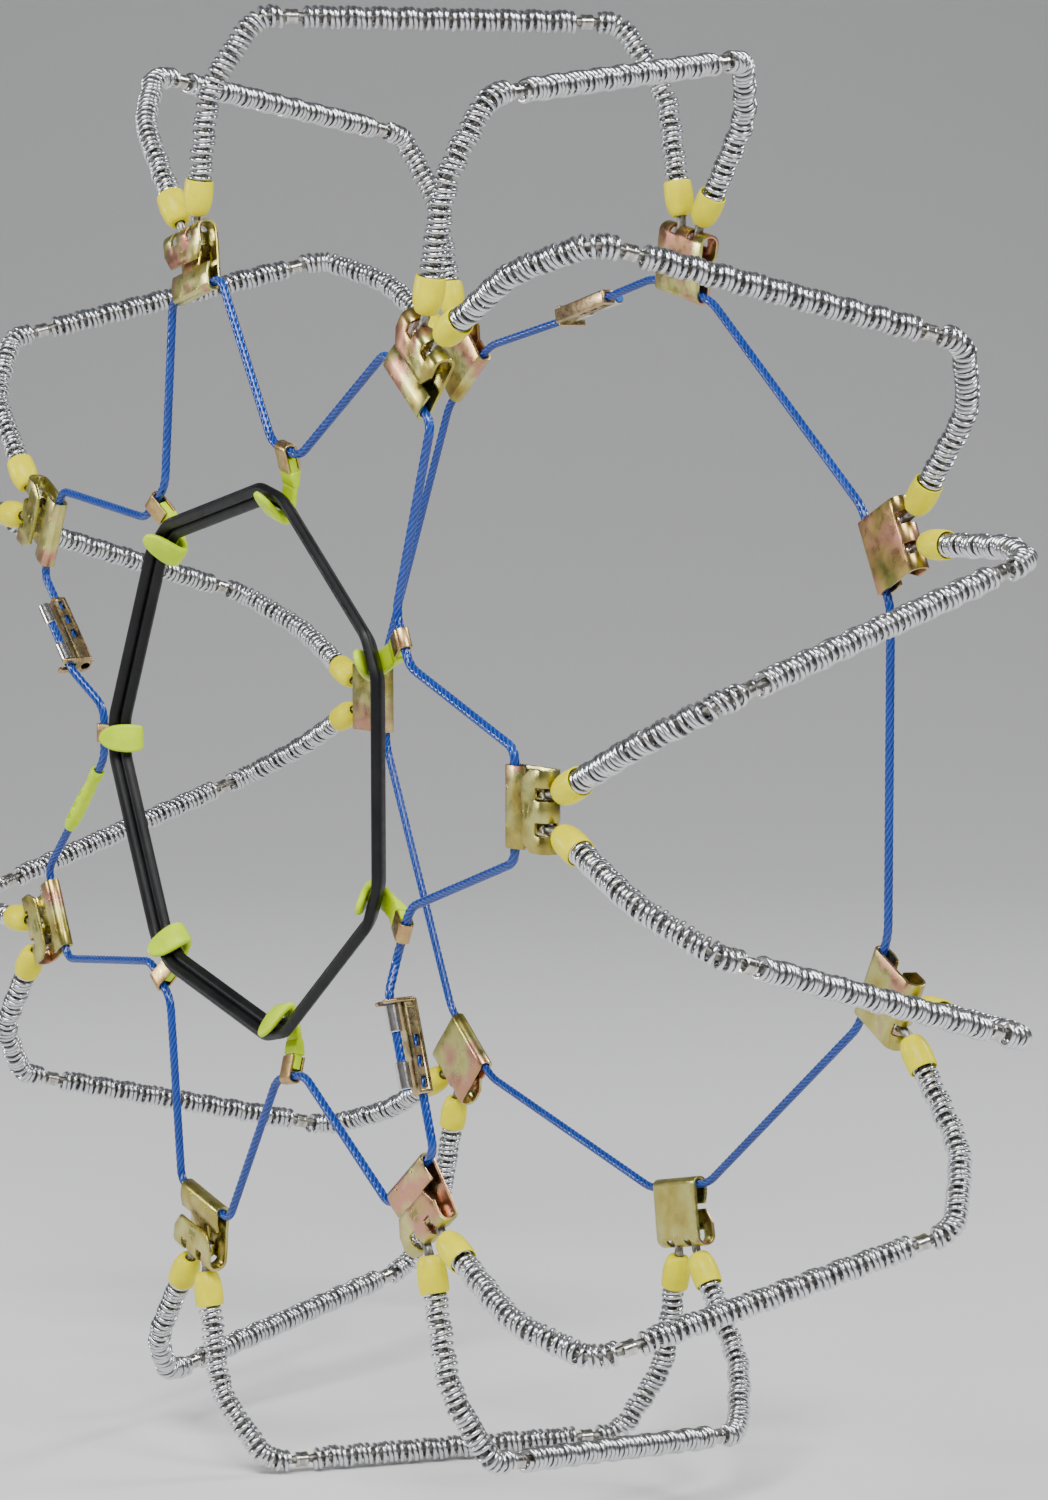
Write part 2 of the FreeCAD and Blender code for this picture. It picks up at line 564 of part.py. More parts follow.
def build_plate(label, place):
    """A channel crimped round one cable's end, with a bent-up forked tab for the other cable."""
    body = new_body(label, place)
    wall = new_sketch(body, "XY_Plane", "wall")
    outside = "(Dims.plate_bore + Dims.plate_sheet)"
    outline(wall, [("Dims.plate_start", "-" + outside), ("Dims.plate_end", "-" + outside),
                   ("Dims.plate_end", outside), ("Dims.plate_start + Dims.tab_sheet", outside),
                   ("Dims.plate_start + Dims.tab_sheet", "Dims.tab_top"),
                   ("Dims.plate_start", "Dims.tab_top")])
    pad(body, wall, "2 * Dims.tab_half")
    trim = new_sketch(body, "XZ_Plane", "trim")
    for way in ("-", ""):
        outline(trim, [("Dims.plate_start + Dims.tab_sheet", way + outside),
                       ("Dims.plate_end + Dims.overshoot", way + outside),
                       ("Dims.plate_end + Dims.overshoot", way + "(Dims.tab_half + Dims.overshoot)"),
                       ("Dims.plate_start + Dims.tab_sheet", way + "(Dims.tab_half + Dims.overshoot)")])
    pocket(body, trim, "4 * Dims.tab_top", both_ways=True)
    channel = new_sketch(body, "YZ_Plane", "channel")
    outline(channel, [("-Dims.plate_bore", "-Dims.plate_bore"), ("Dims.plate_bore", "-Dims.plate_bore"),
                      ("Dims.plate_bore", "Dims.plate_bore"), ("-Dims.plate_bore", "Dims.plate_bore")])
    pocket(body, channel, "3 * Dims.plate_end", both_ways=True)
    windows = new_sketch(body, "XY_Plane", "windows")
    for k in range(3):
        near = "Dims.window_from + %d * Dims.window_pitch" % k
        far = near + " + Dims.window_length"
        outline(windows, [(near, "-Dims.window_half"), (far, "-Dims.window_half"),
                          (far, "Dims.window_half"), (near, "Dims.window_half")])
    pocket(body, windows, "4 * Dims.tab_half", both_ways=True)
    fork = new_sketch(body, "YZ_Plane", "fork", size.plate_start - size.overshoot)
    above = "Dims.tab_top + Dims.overshoot"
    outline(fork, [("Dims.fork_low", "-Dims.fork_half"), (above, "-Dims.fork_half"),
                   (above, "Dims.fork_half"), ("Dims.fork_low", "Dims.fork_half")])
    pocket(body, fork, "Dims.tab_sheet + 2 * Dims.overshoot", reverse=True)
    return keep(label, body)


def ferrules(start, towards, shift=0.0, side=OUTER_SIDE):
    direction = unit(start, towards)
    bore = size.side_cable_r + size.crimp_gap
    return [sleeve(run_point(start, towards, lead + shift, size.tail_rise, side), direction,
                   size.ferrule_length, size.ferrule_r, bore)
            for lead in (size.ferrule_first, size.ferrule_last)]


def build_grip(label, start, towards):
    """A slim moulded grip on one run of the side cable."""
    body = new_body(label, aim(start, towards))
    half = new_sketch(body, "XY_Plane", "section")
    outline(half, [("Dims.grip_from", "Dims.grip_bore_r"), ("Dims.grip_from", "Dims.grip_end_r"),
                   ("Dims.grip_from + Dims.grip_lip", "Dims.grip_waist_r"),
                   ("Dims.grip_waist_end", "Dims.grip_waist_r"), ("Dims.grip_swell", "Dims.grip_r"),
                   ("Dims.grip_to - Dims.grip_taper", "Dims.grip_r"),
                   ("Dims.grip_to", "Dims.grip_end_r"), ("Dims.grip_to", "Dims.grip_bore_r")])
    turned = body.newObject("PartDesign::Revolution", "Turned")
    turned.Profile = half
    turned.ReferenceAxis = (half, ["H_Axis"])
    turned.Angle = 360
    doc.recompute()
    slots = new_sketch(body, "XY_Plane", "slots")
    for k in range(3):
        near = "Dims.grip_slot_from + %d * Dims.grip_slot_pitch" % k
        far = near + " + Dims.grip_slot"
        outline(slots, [(near, "Dims.grip_r - Dims.grip_slot_depth"),
                        (far, "Dims.grip_r - Dims.grip_slot_depth"),
                        (far, "Dims.grip_r + Dims.overshoot"), (near, "Dims.grip_r + Dims.overshoot")])
    pocket(body, slots, "Dims.grip_slot_w", both_ways=True)
    return keep(label, body)


# ---------------------------------------------------------------- assembly

for k in range(COUNT):
    build_clip("outer_clip_%d" % (k + 1), clip_angle(k), OUTER_SIDE)
for k in range(COUNT):
    build_clip("inner_clip_%d" % (k + 1), clip_angle(k, INNER_SIDE), INNER_SIDE)
for k in range(COUNT):
    build_hook("ring_hook_%d" % (k + 1), hook_angle(k))
    build_strap("hook_strap_%d" % (k + 1), hook_angle(k))
build_ring()

routes = [cross_route(k, way) for k in range(COUNT) for way in (-1, 1)]
bends = cross_bends()
group("cross_cables", [tube_along(route, bends, size.cross_cable_r) for route in routes])

end_sleeves, stops, outer_caps, inner_caps, outer_coils, inner_coils = [], [], [], [], [], []
cap = cap_body()
cable_fit = size.cross_cable_r + size.crimp_gap
for number, route in enumerate(routes, start=1):
    build_tread_coil("tread_coil_%02d" % number, route)
    for half, caps, coils in ((route, outer_caps, outer_coils), (route[::-1], inner_caps, inner_coils)):
        end_sleeves.append(sleeve(half[0], unit(half[0], half[1]), size.sleeve_length,
                                  size.sleeve_r, cable_fit))
        placed = cap.Shape.copy()
        placed.Placement = aim(half[1], half[2])
        caps.append(placed)
        coils.append(side_coil(half))
        lead = (bend_reach(half, 3, size.shoulder_bend_r) + size.coil_past_bend
                + (size.coil_gap - size.stop_length) / 2)
        direction = unit(half[3], half[4])
        stops.append(sleeve(half[3] + direction * lead, direction, size.stop_length,
                            size.stop_r, cable_fit))
group("cable_end_sleeves", end_sleeves)
group("coil_stops", stops)
group("outer_end_caps", outer_caps)
group("inner_end_caps", inner_caps)
group("outer_side_coils", outer_coils)
group("inner_side_coils", inner_coils)

# The outer side cable is two lengths.  Each is crimped into a connector at one end, runs
# through clips and hook straps in turn, and ends in the other connector's fork.
CONNECTOR_CLIPS = (6, 3)         # the clip that each connector's plate lies next to


def side_cable(label, first_clip, clips, start_shift, end_shift):
    points = []
    radii = []
    before = hook_corner(first_clip - 1, 1)
    points.append(run_point(before, clip_corner(first_clip, -1), size.cable_in_plate + start_shift))
    for step in range(clips):
        k = (first_clip + step) % COUNT
        points += [clip_corner(k, -1), clip_corner(k, 1), hook_corner(k, -1), hook_corner(k, 1)]
        radii += [size.clip_bend_r] * 2 + [size.hook_bend_r] * 2
    last = (first_clip + clips - 1) % COUNT
    points += tail_points(hook_corner(last, 1), clip_corner(last + 1, -1), end_shift)
    radii.append(size.rise_bend_r)
    return group(label, [tube_along(points, radii, size.side_cable_r)])


SHIFTS = (0.0, size.second_connector_shift)
side_cable("outer_side_cable_1", CONNECTOR_CLIPS[0], 4, SHIFTS[0], SHIFTS[1])
side_cable("outer_side_cable_2", CONNECTOR_CLIPS[1], 3, SHIFTS[1], SHIFTS[0])
for number, (k, slide) in enumerate(zip(CONNECTOR_CLIPS, SHIFTS), start=1):
    run = (hook_corner(k - 1, 1), clip_corner(k, -1))
    build_plate("connector_plate_%d" % number, connector_frame(*run, slide))
    group("connector_ferrules_%d" % number, ferrules(*run, slide))
build_grip("cable_grip", hook_corner(5, -1), clip_corner(5, 1))

inner_points = []
for k in range(COUNT):
    inner_points += [clip_corner(k, -1, INNER_SIDE), clip_corner(k, 1, INNER_SIDE)]
inner_start = (inner_points[-1], inner_points[0])
shift = size.inner_connector_shift
inner_tail = tail_points(*inner_start, shift, INNER_SIDE)
inner_points = ([run_point(*inner_start, size.cable_in_plate + shift, 0, INNER_SIDE)]
                + inner_points + inner_tail)
inner_radii = [size.inner_bend_r] * (2 * COUNT) + [size.rise_bend_r]
group("inner_side_cable", [tube_along(inner_points, inner_radii, size.side_cable_r)])
build_plate("inner_connector_plate", connector_frame(*inner_start, shift, INNER_SIDE))
group("inner_connector_ferrules", ferrules(*inner_start, shift, INNER_SIDE))

doc.recompute()


# ---------------------------------------------------------------- checks and export

for item in doc.Objects:
    if "Invalid" in item.State or "Error" in item.State:
        raise ValueError("%s did not build: %s" % (item.Label, item.State))
for label, item in nodes:
    if item.Shape.isNull() or not item.Shape.isValid():
        raise ValueError("%s has no valid shape" % label)

os.makedirs("parts", exist_ok=True)
for label, item in nodes:
    item.Shape.exportStep("parts/%s.step" % label)
    print("%-26s %3d solids %10.1f mm3" % (label, len(item.Shape.Solids), item.Shape.Volume))
whole = FreeCAD.BoundBox()
for label, item in nodes:
    whole.add(item.Shape.BoundBox)
print("nodes", len(nodes), "box", whole)
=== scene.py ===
import math
import random

import bmesh
import bpy
import numpy as np
from mathutils import Matrix, Vector


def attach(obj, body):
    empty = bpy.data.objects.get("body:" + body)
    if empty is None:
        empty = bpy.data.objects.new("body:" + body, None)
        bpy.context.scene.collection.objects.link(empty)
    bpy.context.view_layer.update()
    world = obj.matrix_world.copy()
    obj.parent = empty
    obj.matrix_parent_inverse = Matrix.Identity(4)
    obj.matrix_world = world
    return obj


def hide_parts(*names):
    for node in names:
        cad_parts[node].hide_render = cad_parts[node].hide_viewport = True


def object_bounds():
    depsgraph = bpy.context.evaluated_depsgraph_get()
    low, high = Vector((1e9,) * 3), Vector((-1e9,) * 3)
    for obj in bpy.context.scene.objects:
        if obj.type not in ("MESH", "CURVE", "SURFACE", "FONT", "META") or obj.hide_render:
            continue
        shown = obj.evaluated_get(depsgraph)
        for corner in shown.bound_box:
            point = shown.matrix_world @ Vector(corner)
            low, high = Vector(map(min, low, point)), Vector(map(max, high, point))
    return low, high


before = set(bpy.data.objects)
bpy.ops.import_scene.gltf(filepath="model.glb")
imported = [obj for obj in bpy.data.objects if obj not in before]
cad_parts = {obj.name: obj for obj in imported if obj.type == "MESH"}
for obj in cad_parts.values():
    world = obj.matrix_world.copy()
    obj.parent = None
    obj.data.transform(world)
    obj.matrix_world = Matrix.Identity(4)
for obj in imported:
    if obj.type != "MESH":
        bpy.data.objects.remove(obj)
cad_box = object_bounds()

random.seed(7)

MM = 0.001

# ---------------------------------------------------------------- dimensions, in millimetres
# These are the driving dimensions of the chain, as the CAD model has them.

COUNT = 7
PITCH = 360.0 / COUNT
FIRST_CLIP = -13.0
OUTER_SIDE, INNER_SIDE = 1, -1

SIDE_DEPTH = 157.0
SIDE_CABLE_R = 3.1
CLIP_RADIUS, CLIP_CORNER, CLIP_BEND_R = 335.0, 36.0, 12.0
INNER_CORNER, INNER_BEND_R = 37.0, 40.0
HOOK_RADIUS, HOOK_CORNER, HOOK_BEND_R = 223.0, 19.0, 22.0

STRAP_TILT = 20.0

# the folded clips, measured to the middle of their sheet
CLIP_SHEET, CLIP_HALF = 2.4, 26.5
FLAP_DEPTH, FLAP_END, FLAP_CUT, FLAP_CUT_END = 163.8, 353.5, 7.0, 364.0
FOLD_CENTRE, FOLD_R, BACK_DEPTH = 372.6, 6.2, 150.2
ROLL_CENTRE, ROLL_R, ROLL_FRONT, ROLL_BACK = 334.4, 4.0, 161.6, 152.4
HALF_FLAT = 0.6
LEAN_FROM, SHOULDER_AT, TONGUE_END, TONGUE_DEPTH, TONGUE_HALF = 341.0, 349.5, 360.0, 156.2, 11.5
SLOT_PITCH, SLOT_HALF, SLOT_FROM = 11.0, 4.2, 369.0

CROSS_CABLE_R = 3.25
END_RADIUS, TURN_RADIUS, TURN_BEND_R = 363.5, 383.0, 12.0
WALL_RADIUS, WALL_LAG, WALL_DEPTH, WALL_BEND_R = 470.0, 6.0, 156.0, 70.0
SHOULDER_RADIUS, SHOULDER_LAG, SHOULDER_DEPTH, SHOULDER_BEND_R = 518.0, 8.5, 127.0, 24.0
COIL_R, COIL_WIRE_R, COIL_PITCH, COIL_SWAY, COIL_SLIP = 8.5, 1.65, 4.7, 0.85, 0.4
TURN_STEPS, WIRE_SIDES = 18, 10
COIL_PAST_BEND, COIL_GAP, STOP_LENGTH = 6.0, 12.0, 9.0
CAP_START, COIL_IN_CAP = 3.0, 10.0

RING_RADIUS, RING_DEPTH, RING_FLAT, RING_BEND_R = 189.0, 161.5, 28.0, 20.0
RING_THICKNESS, RING_WIDTH, RING_TILT, RING_SIDES = 8.0, 16.5, 45.0, 72

PLATE_START, PLATE_END, TAIL_RISE = 41.0, 106.0, 12.0
PLATE_HALF, PLATE_BORE, TAB_TOP, TAB_SHEET, TAB_HALF, FORK_HALF = 5.6, 3.6, 20.0, 3.0, 8.0, 3.5
RISE_TO, RISE_BEND_R, TAIL_END = 36.5, 18.0, 102.5
CABLE_IN_PLATE, CONNECTOR_CLIPS, CONNECTOR_SHIFTS = 54.0, (6, 3), (0.0, -12.0)
FERRULE_LEADS, FERRULE_R, FERRULE_LENGTH = (44.4, 83.0), 4.6, 18.5
SLEEVE_R, SLEEVE_LENGTH, STOP_R, SLEEVE_BORE, FERRULE_BORE = 4.8, 10.0, 5.5, 3.3, 3.2
INNER_SHIFT = 60.0
GRIP_HOOK = 5  # the grip sits on the run from this hook to the next clip

ROPE_LAY, CROSS_ROPE_LAY = 31.0, 38.0  # length of one turn of a strand


# ---------------------------------------------------------------- places on the wheel

def clip_angle(k, side=OUTER_SIDE):
    return FIRST_CLIP + PITCH * (k if side == OUTER_SIDE else k + 0.5)


def hook_angle(k):
    return clip_angle(k) + PITCH / 2


def rim_point(radius, along, angle, depth):
    a = math.radians(angle)
    return Vector((radius * math.sin(a) + along * math.cos(a), -depth,
                   radius * math.cos(a) - along * math.sin(a)))


def wheel_point(radius, angle, depth):
    return rim_point(radius, 0.0, angle, depth)


def station(angle, side=OUTER_SIDE):
    """Local X along the rim, Y away from the tyre, Z radial."""
    turn = Matrix.Rotation(math.radians(angle), 4, "Y")
    if side == OUTER_SIDE:
        turn = turn @ Matrix.Rotation(math.pi, 4, "Z")
    return turn


def aim(start, towards, lead=0.0):
    """Local X along the line from start to towards."""
    x = (towards - start).normalized()
    y = Vector((0, 1, 0))
    if abs(x.y) > 0.9:
        y = Vector((0, 0, 1))
    z = x.cross(y).normalized()
    y = z.cross(x)
    turn = Matrix((x, y, z)).transposed().to_4x4()
    return Matrix.Translation(start + x * lead) @ turn


def connector_frame(start, towards, shift=0.0, side=OUTER_SIDE):
    x = (towards - start).normalized()
    y = Vector((0, -side, 0))
    z = x.cross(y)
    turn = Matrix((x, y, z)).transposed().to_4x4()
    return Matrix.Translation(start + x * shift) @ turn


# ---------------------------------------------------------------- camera, floor and light

CAMERA_AZIMUTH, CAMERA_ELEVATION, CAMERA_DISTANCE = 57.3, 6.0, 3.007
CAMERA_AIM = Vector((0.0174, 0.0586, -0.0046))
CAMERA_PIVOT = Vector((0, 0.032, 0))
CAMERA_LENS = 99.7


def add_camera():
    a, e = math.radians(CAMERA_AZIMUTH), math.radians(CAMERA_ELEVATION)
    back = Vector((math.sin(a) * math.cos(e), -math.cos(a) * math.cos(e), math.sin(e)))
    data = bpy.data.cameras.new("camera")
    data.sensor_width = 36.0
    data.lens = CAMERA_LENS
    data.clip_end = 50.0
    camera = bpy.data.objects.new("camera", data)
    bpy.context.collection.objects.link(camera)
    camera.location = back * CAMERA_DISTANCE + CAMERA_PIVOT
    camera.rotation_euler = (CAMERA_AIM - camera.location).to_track_quat("-Z", "Y").to_euler()
    bpy.context.scene.camera = camera


def area_light(name, place, target, width, energy):
    data = bpy.data.lights.new(name, "AREA")
    data.shape = "RECTANGLE"
    data.size = width
    data.size_y = width * 0.6
    data.energy = energy
    light = bpy.data.objects.new(name, data)
    bpy.context.collection.objects.link(light)
    light.location = place
    light.rotation_euler = (Vector(target) - Vector(place)).to_track_quat("-Z", "Y").to_euler()


def add_studio():
    world = bpy.data.worlds.new("studio")
    bpy.context.scene.world = world
    world.use_nodes = True
    background = world.node_tree.nodes["Background"]
    background.inputs["Color"].default_value = (0.82, 0.85, 0.90, 1)
    background.inputs["Strength"].default_value = 0.16
    area_light("key", (1.6, -2.2, 3.2), (0, 0, 0), 2.6, 230)
    area_light("side", (3.2, 0.4, 2.2), (0, 0, 0), 1.2, 70)
    area_light("front", (-2.0, -2.6, 0.6), (0, 0, 0), 0.7, 35)
    area_light("back", (0.8, 3.0, 2.4), (0, 0, 0), 1.1, 60)
    add_backdrop()


def add_backdrop():
    """A sheet with a floor and two walls, one beyond the object and one behind the camera."""
    floor_gap, flat, bend, top, half_width, bend_steps = 0.001, 3.0, 5.0, 14.0, 16.0, 32
    low = cad_box[0][2] - floor_gap
    a = math.radians(CAMERA_AZIMUTH)
    away = Vector((-math.sin(a), math.cos(a), 0))
    beside = Vector((math.cos(a), math.sin(a), 0))
    wall = [(flat + bend, top)]
    for k in range(bend_steps, -1, -1):
        t = math.pi / 2 * k / bend_steps
        wall.append((flat + bend * math.sin(t), bend - bend * math.cos(t)))
    sweep = [(-out, rise) for out, rise in wall] + wall[::-1]
    corners = []
    for out, rise in sweep:
        for across in (-half_width, half_width):
            corners.append(away * out + beside * across + Vector((0, 0, low + rise)))
    faces = [(2 * k, 2 * k + 1, 2 * k + 3, 2 * k + 2) for k in range(len(sweep) - 1)]
    mesh = bpy.data.meshes.new("backdrop")
    mesh.from_pydata([tuple(c) for c in corners], [], faces)
    for polygon in mesh.polygons:
        polygon.use_smooth = True
    backdrop = bpy.data.objects.new("backdrop", mesh)
    bpy.context.collection.objects.link(backdrop)
    mesh.materials.append(paper_material())


# ---------------------------------------------------------------- materials

def new_material(name):
    material = bpy.data.materials.new(name)
    material.use_nodes = True
    tree = material.node_tree
    return material, tree, tree.nodes["Principled BSDF"]


def noise(tree, scale, detail=4.0, rough=0.55):
    """Noise in object space; the scale is in features per metre."""
    place = tree.nodes.new("ShaderNodeTexCoord")
    texture = tree.nodes.new("ShaderNodeTexNoise")
    texture.inputs["Scale"].default_value = scale
    texture.inputs["Detail"].default_value = detail
    texture.inputs["Roughness"].default_value = rough
    tree.links.new(place.outputs["Object"], texture.inputs["Vector"])
    return texture.outputs["Fac"]


def ramp(tree, source, stops):
    node = tree.nodes.new("ShaderNodeValToRGB")
    elements = node.color_ramp.elements
    while len(elements) < len(stops):
        elements.new(0.5)
    for element, (place, colour) in zip(elements, stops):
        element.position = place
        element.color = (*colour, 1)
    tree.links.new(source, node.inputs["Fac"])
    return node.outputs["Color"]


def spread(tree, source, low, high, start=0.3, end=0.7):
    node = tree.nodes.new("ShaderNodeMapRange")
    node.inputs["From Min"].default_value = start
    node.inputs["From Max"].default_value = end
    node.inputs["To Min"].default_value = low
    node.inputs["To Max"].default_value = high
    tree.links.new(source, node.inputs["Value"])
    return node.outputs["Result"]


def bump(tree, shader, source, distance, strength=1.0):
    node = tree.nodes.new("ShaderNodeBump")
    node.inputs["Distance"].default_value = distance
    node.inputs["Strength"].default_value = strength
    tree.links.new(source, node.inputs["Height"])
    tree.links.new(node.outputs["Normal"], shader.inputs["Normal"])


def edge_wear(tree):
    """High on sharp outward edges, low elsewhere."""
    geometry = tree.nodes.new("ShaderNodeNewGeometry")
    return spread(tree, geometry.outputs["Pointiness"], 0.0, 1.0, 0.52, 0.60)


def mix_colours(tree, factor, first, second):
    node = tree.nodes.new("ShaderNodeMix")
    node.data_type = "RGBA"
    tree.links.new(factor, node.inputs["Factor"])
    for socket, colour in ((node.inputs[6], first), (node.inputs[7], second)):
        if isinstance(colour, tuple):
            socket.default_value = (*colour, 1)
        else:
            tree.links.new(colour, socket)
    return node.outputs[2]


def metal(name, stops, scale, roughness, marks=900.0, depth=0.00006):
    """Plated metal: stained colour, uneven gloss and fine draw marks, worn bright on its edges."""
    material, tree, shader = new_material(name)
    stain = ramp(tree, noise(tree, scale, 3.0), stops)
    bright = tuple(min(1.0, c * 1.25) for c in stops[-1][1])
    colour = mix_colours(tree, edge_wear(tree), stain, bright)
    tree.links.new(colour, shader.inputs["Base Color"])
    shader.inputs["Metallic"].default_value = 1.0
    gloss = spread(tree, noise(tree, scale * 6, 5.0), *roughness)
    tree.links.new(gloss, shader.inputs["Roughness"])
    bump(tree, shader, noise(tree, marks, 6.0, 0.65), depth, 0.5)
    return material


def plastic(name, dark, light, roughness, scale=60.0, grain=1400.0, depth=0.00005):
    """Moulded plastic: a slight drift of colour, uneven gloss and a fine moulded grain."""
    material, tree, shader = new_material(name)
    colour = ramp(tree, noise(tree, scale, 3.0), [(0.35, dark), (0.65, light)])
    tree.links.new(colour, shader.inputs["Base Color"])
    gloss = spread(tree, noise(tree, scale * 5, 5.0), *roughness)
    tree.links.new(gloss, shader.inputs["Roughness"])
    shader.inputs["Specular IOR Level"].default_value = 0.22
    bump(tree, shader, noise(tree, grain, 4.0), depth, 0.35)
    return material


def rope_coating(name, furrow_shade, top, crown_highlight, roughness):
    """Coloured coating on a rope, with painted shade dark in the furrows and a painted highlight
    pale along the crowns of the strands.
    """
    material, tree, shader = new_material(name)
    geometry = tree.nodes.new("ShaderNodeNewGeometry")
    # pointiness picks out the strand crowns for the painted highlight and the furrows for the
    # painted shade
    painted_light_mask = spread(tree, geometry.outputs["Pointiness"], 0.0, 1.0, 0.44, 0.56)
    colour = ramp(tree, painted_light_mask, [(0.15, furrow_shade), (0.55, top), (0.95, crown_highlight)])
    dim, full = (0.82, 0.82, 0.82), (1.0, 1.0, 1.0)
    drift = ramp(tree, noise(tree, 60.0, 3.0), [(0.35, dim), (0.65, full)])
    blend = tree.nodes.new("ShaderNodeMix")
    blend.data_type = "RGBA"
    blend.blend_type = "MULTIPLY"
    blend.inputs["Factor"].default_value = 1.0
    tree.links.new(colour, blend.inputs[6])
    tree.links.new(drift, blend.inputs[7])
    tree.links.new(blend.outputs[2], shader.inputs["Base Color"])
    tree.links.new(spread(tree, noise(tree, 300.0, 5.0), *roughness), shader.inputs["Roughness"])
    bump(tree, shader, noise(tree, 1400.0, 4.0), 0.00004, 0.3)
    return material


def paper_material():
    material, tree, shader = new_material("backdrop_paper")
    shader.inputs["Base Color"].default_value = (0.78, 0.78, 0.78, 1)
    shader.inputs["Roughness"].default_value = 0.9
    return material


def make_materials():
    gold = [(0.30, (0.26, 0.17, 0.04)), (0.40, (0.50, 0.42, 0.10)), (0.49, (0.62, 0.60, 0.22)),
            (0.57, (0.60, 0.27, 0.20)), (0.66, (0.52, 0.36, 0.12)), (0.74, (0.20, 0.19, 0.05))]
    strip = [(0.35, (0.32, 0.17, 0.07)), (0.50, (0.52, 0.40, 0.15)), (0.65, (0.44, 0.26, 0.12))]
    dull = [(0.35, (0.26, 0.20, 0.09)), (0.50, (0.55, 0.44, 0.22)), (0.65, (0.42, 0.28, 0.17))]
    zinc = [(0.35, (0.38, 0.39, 0.41)), (0.65, (0.60, 0.60, 0.62))]
    rope_wire = [(0.35, (0.12, 0.12, 0.11)), (0.65, (0.36, 0.34, 0.30))]
    pressed = [(0.35, (0.40, 0.39, 0.36)), (0.65, (0.58, 0.56, 0.53))]
    return {
        "clip_steel": metal("yellow_zinc", gold, 17.0, (0.20, 0.40), 700.0, 0.00003),
        "strap_steel": metal("yellow_zinc_strap", strip, 60.0, (0.24, 0.42)),
        "plate_steel": metal("dark_yellow_zinc", dull, 50.0, (0.20, 0.38)),
        "coil_steel": metal("bright_zinc_wire", zinc, 90.0, (0.14, 0.26), 2200.0, 0.000005),
        "bare_rope": metal("wire_rope", rope_wire, 300.0, (0.30, 0.50), 2500.0, 0.00015),
        "ferrule_steel": metal("pressed_steel", pressed, 80.0, (0.14, 0.26), 2500.0, 0.000006),
        # blue coating: the first colour is painted shade in the furrows, the third a painted
        # highlight on the strand crowns
        "coated_rope": rope_coating("blue_coating", (0.001, 0.004, 0.05), (0.004, 0.026, 0.21),
                                    (0.025, 0.12, 0.52), (0.14, 0.26)),
        "cap_plastic": plastic("yellow_plastic", (0.72, 0.64, 0.0), (0.83, 0.76, 0.0),
                               (0.28, 0.42)),
        "hook_plastic": plastic("yellow_green_plastic", (0.46, 0.66, 0.0), (0.57, 0.80, 0.0),
                                (0.26, 0.40)),
        "ring_rubber": plastic("black_rubber", (0.004, 0.004, 0.005), (0.010, 0.010, 0.011),
                               (0.34, 0.50), 40.0, 900.0, 0.0001),
    }


# ---------------------------------------------------------------- routes

def unit(start, end):
    return (end - start).normalized()


def bend_reach(points, k, radius):
    into = unit(points[k - 1], points[k])
    out = unit(points[k], points[k + 1])
    return radius * math.tan(into.angle(out) / 2)


def eased_path(points, radii, step):
    """Straight runs joined by smooth bends, as evenly spaced places along the route.

    Each bend takes the same length of its two runs as an arc of the given radius would."""
    dense = [points[0]]
    for k in range(1, len(points) - 1):
        reach = bend_reach(points, k, radii[k - 1])
        first = points[k] - unit(points[k - 1], points[k]) * reach
        last = points[k] + unit(points[k], points[k + 1]) * reach
        for share in np.linspace(0, 1, 17):
            dense.append(first.lerp(points[k], share).lerp(points[k].lerp(last, share), share))
    dense.append(points[-1])
    dense = np.array([tuple(p) for p in dense])
    gaps = np.linalg.norm(np.diff(dense, axis=0), axis=1)
    dense = dense[np.concatenate([[True], gaps > 1e-6])]
    along = np.concatenate([[0], np.cumsum(np.linalg.norm(np.diff(dense, axis=0), axis=1))])
    count = max(2, int(round(along[-1] / step)) + 1)
    places = np.linspace(0, along[-1], count)
    return np.stack([np.interp(places, along, dense[:, axis]) for axis in range(3)], axis=1)


def carried_frames(path, first_across):
    """Directions along and across a path, carried along it without twist."""
    ahead = np.gradient(path, axis=0)
    ahead /= np.linalg.norm(ahead, axis=1)[:, None]
    across = np.empty_like(path)
    side = np.array(first_across, float)
    for k, direction in enumerate(ahead):
        side = side - direction * side.dot(direction)
        side /= np.linalg.norm(side)
        across[k] = side
    return ahead, across, np.cross(ahead, across)


class Shell:
    """Collects the corners and faces of one piece, in millimetres."""

    def __init__(self):
        self.corners = []
        self.faces = []
        self.count = 0

    def add(self, corners, faces, place=None):
        corners = np.asarray(corners, float)
        if place is not None:
            turn = np.array(place)
            corners = corners @ turn[:3, :3].T + turn[:3, 3]
        self.faces += [tuple(k + self.count for k in face) for face in faces]
        self.corners.append(corners)
        self.count += len(corners)

    def skin(self, rings, closed=False):
        """Joins equal rings of corners into a tube, with flat ends unless it closes on itself."""
        rows, columns = rings.shape[:2]
        faces = []
        for row in range(rows if closed else rows - 1):
            here, there = row * columns, (row + 1) % rows * columns
            for k in range(columns):
                n = (k + 1) % columns
                faces.append((here + k, here + n, there + n, there + k))
        if not closed:
            faces.append(tuple(range(columns))[::-1])
            faces.append(tuple((rows - 1) * columns + k for k in range(columns)))
        self.add(rings.reshape(-1, 3), faces)

    def mesh(self, name):
        data = bpy.data.meshes.new(name)
        corners = np.concatenate(self.corners) * MM
        data.from_pydata([tuple(c) for c in corners], [], self.faces)
        data.update()
        return data


def swept(shell, path, first_across, section, closed=False):
    """section(k) gives ring k's corners as (across, up) pairs."""
    ahead, across, up = carried_frames(path, first_across)
    rings = [path[k] + section(k) @ np.stack([across[k], up[k]]) for k in range(len(path))]
    shell.skin(np.array(rings), closed)


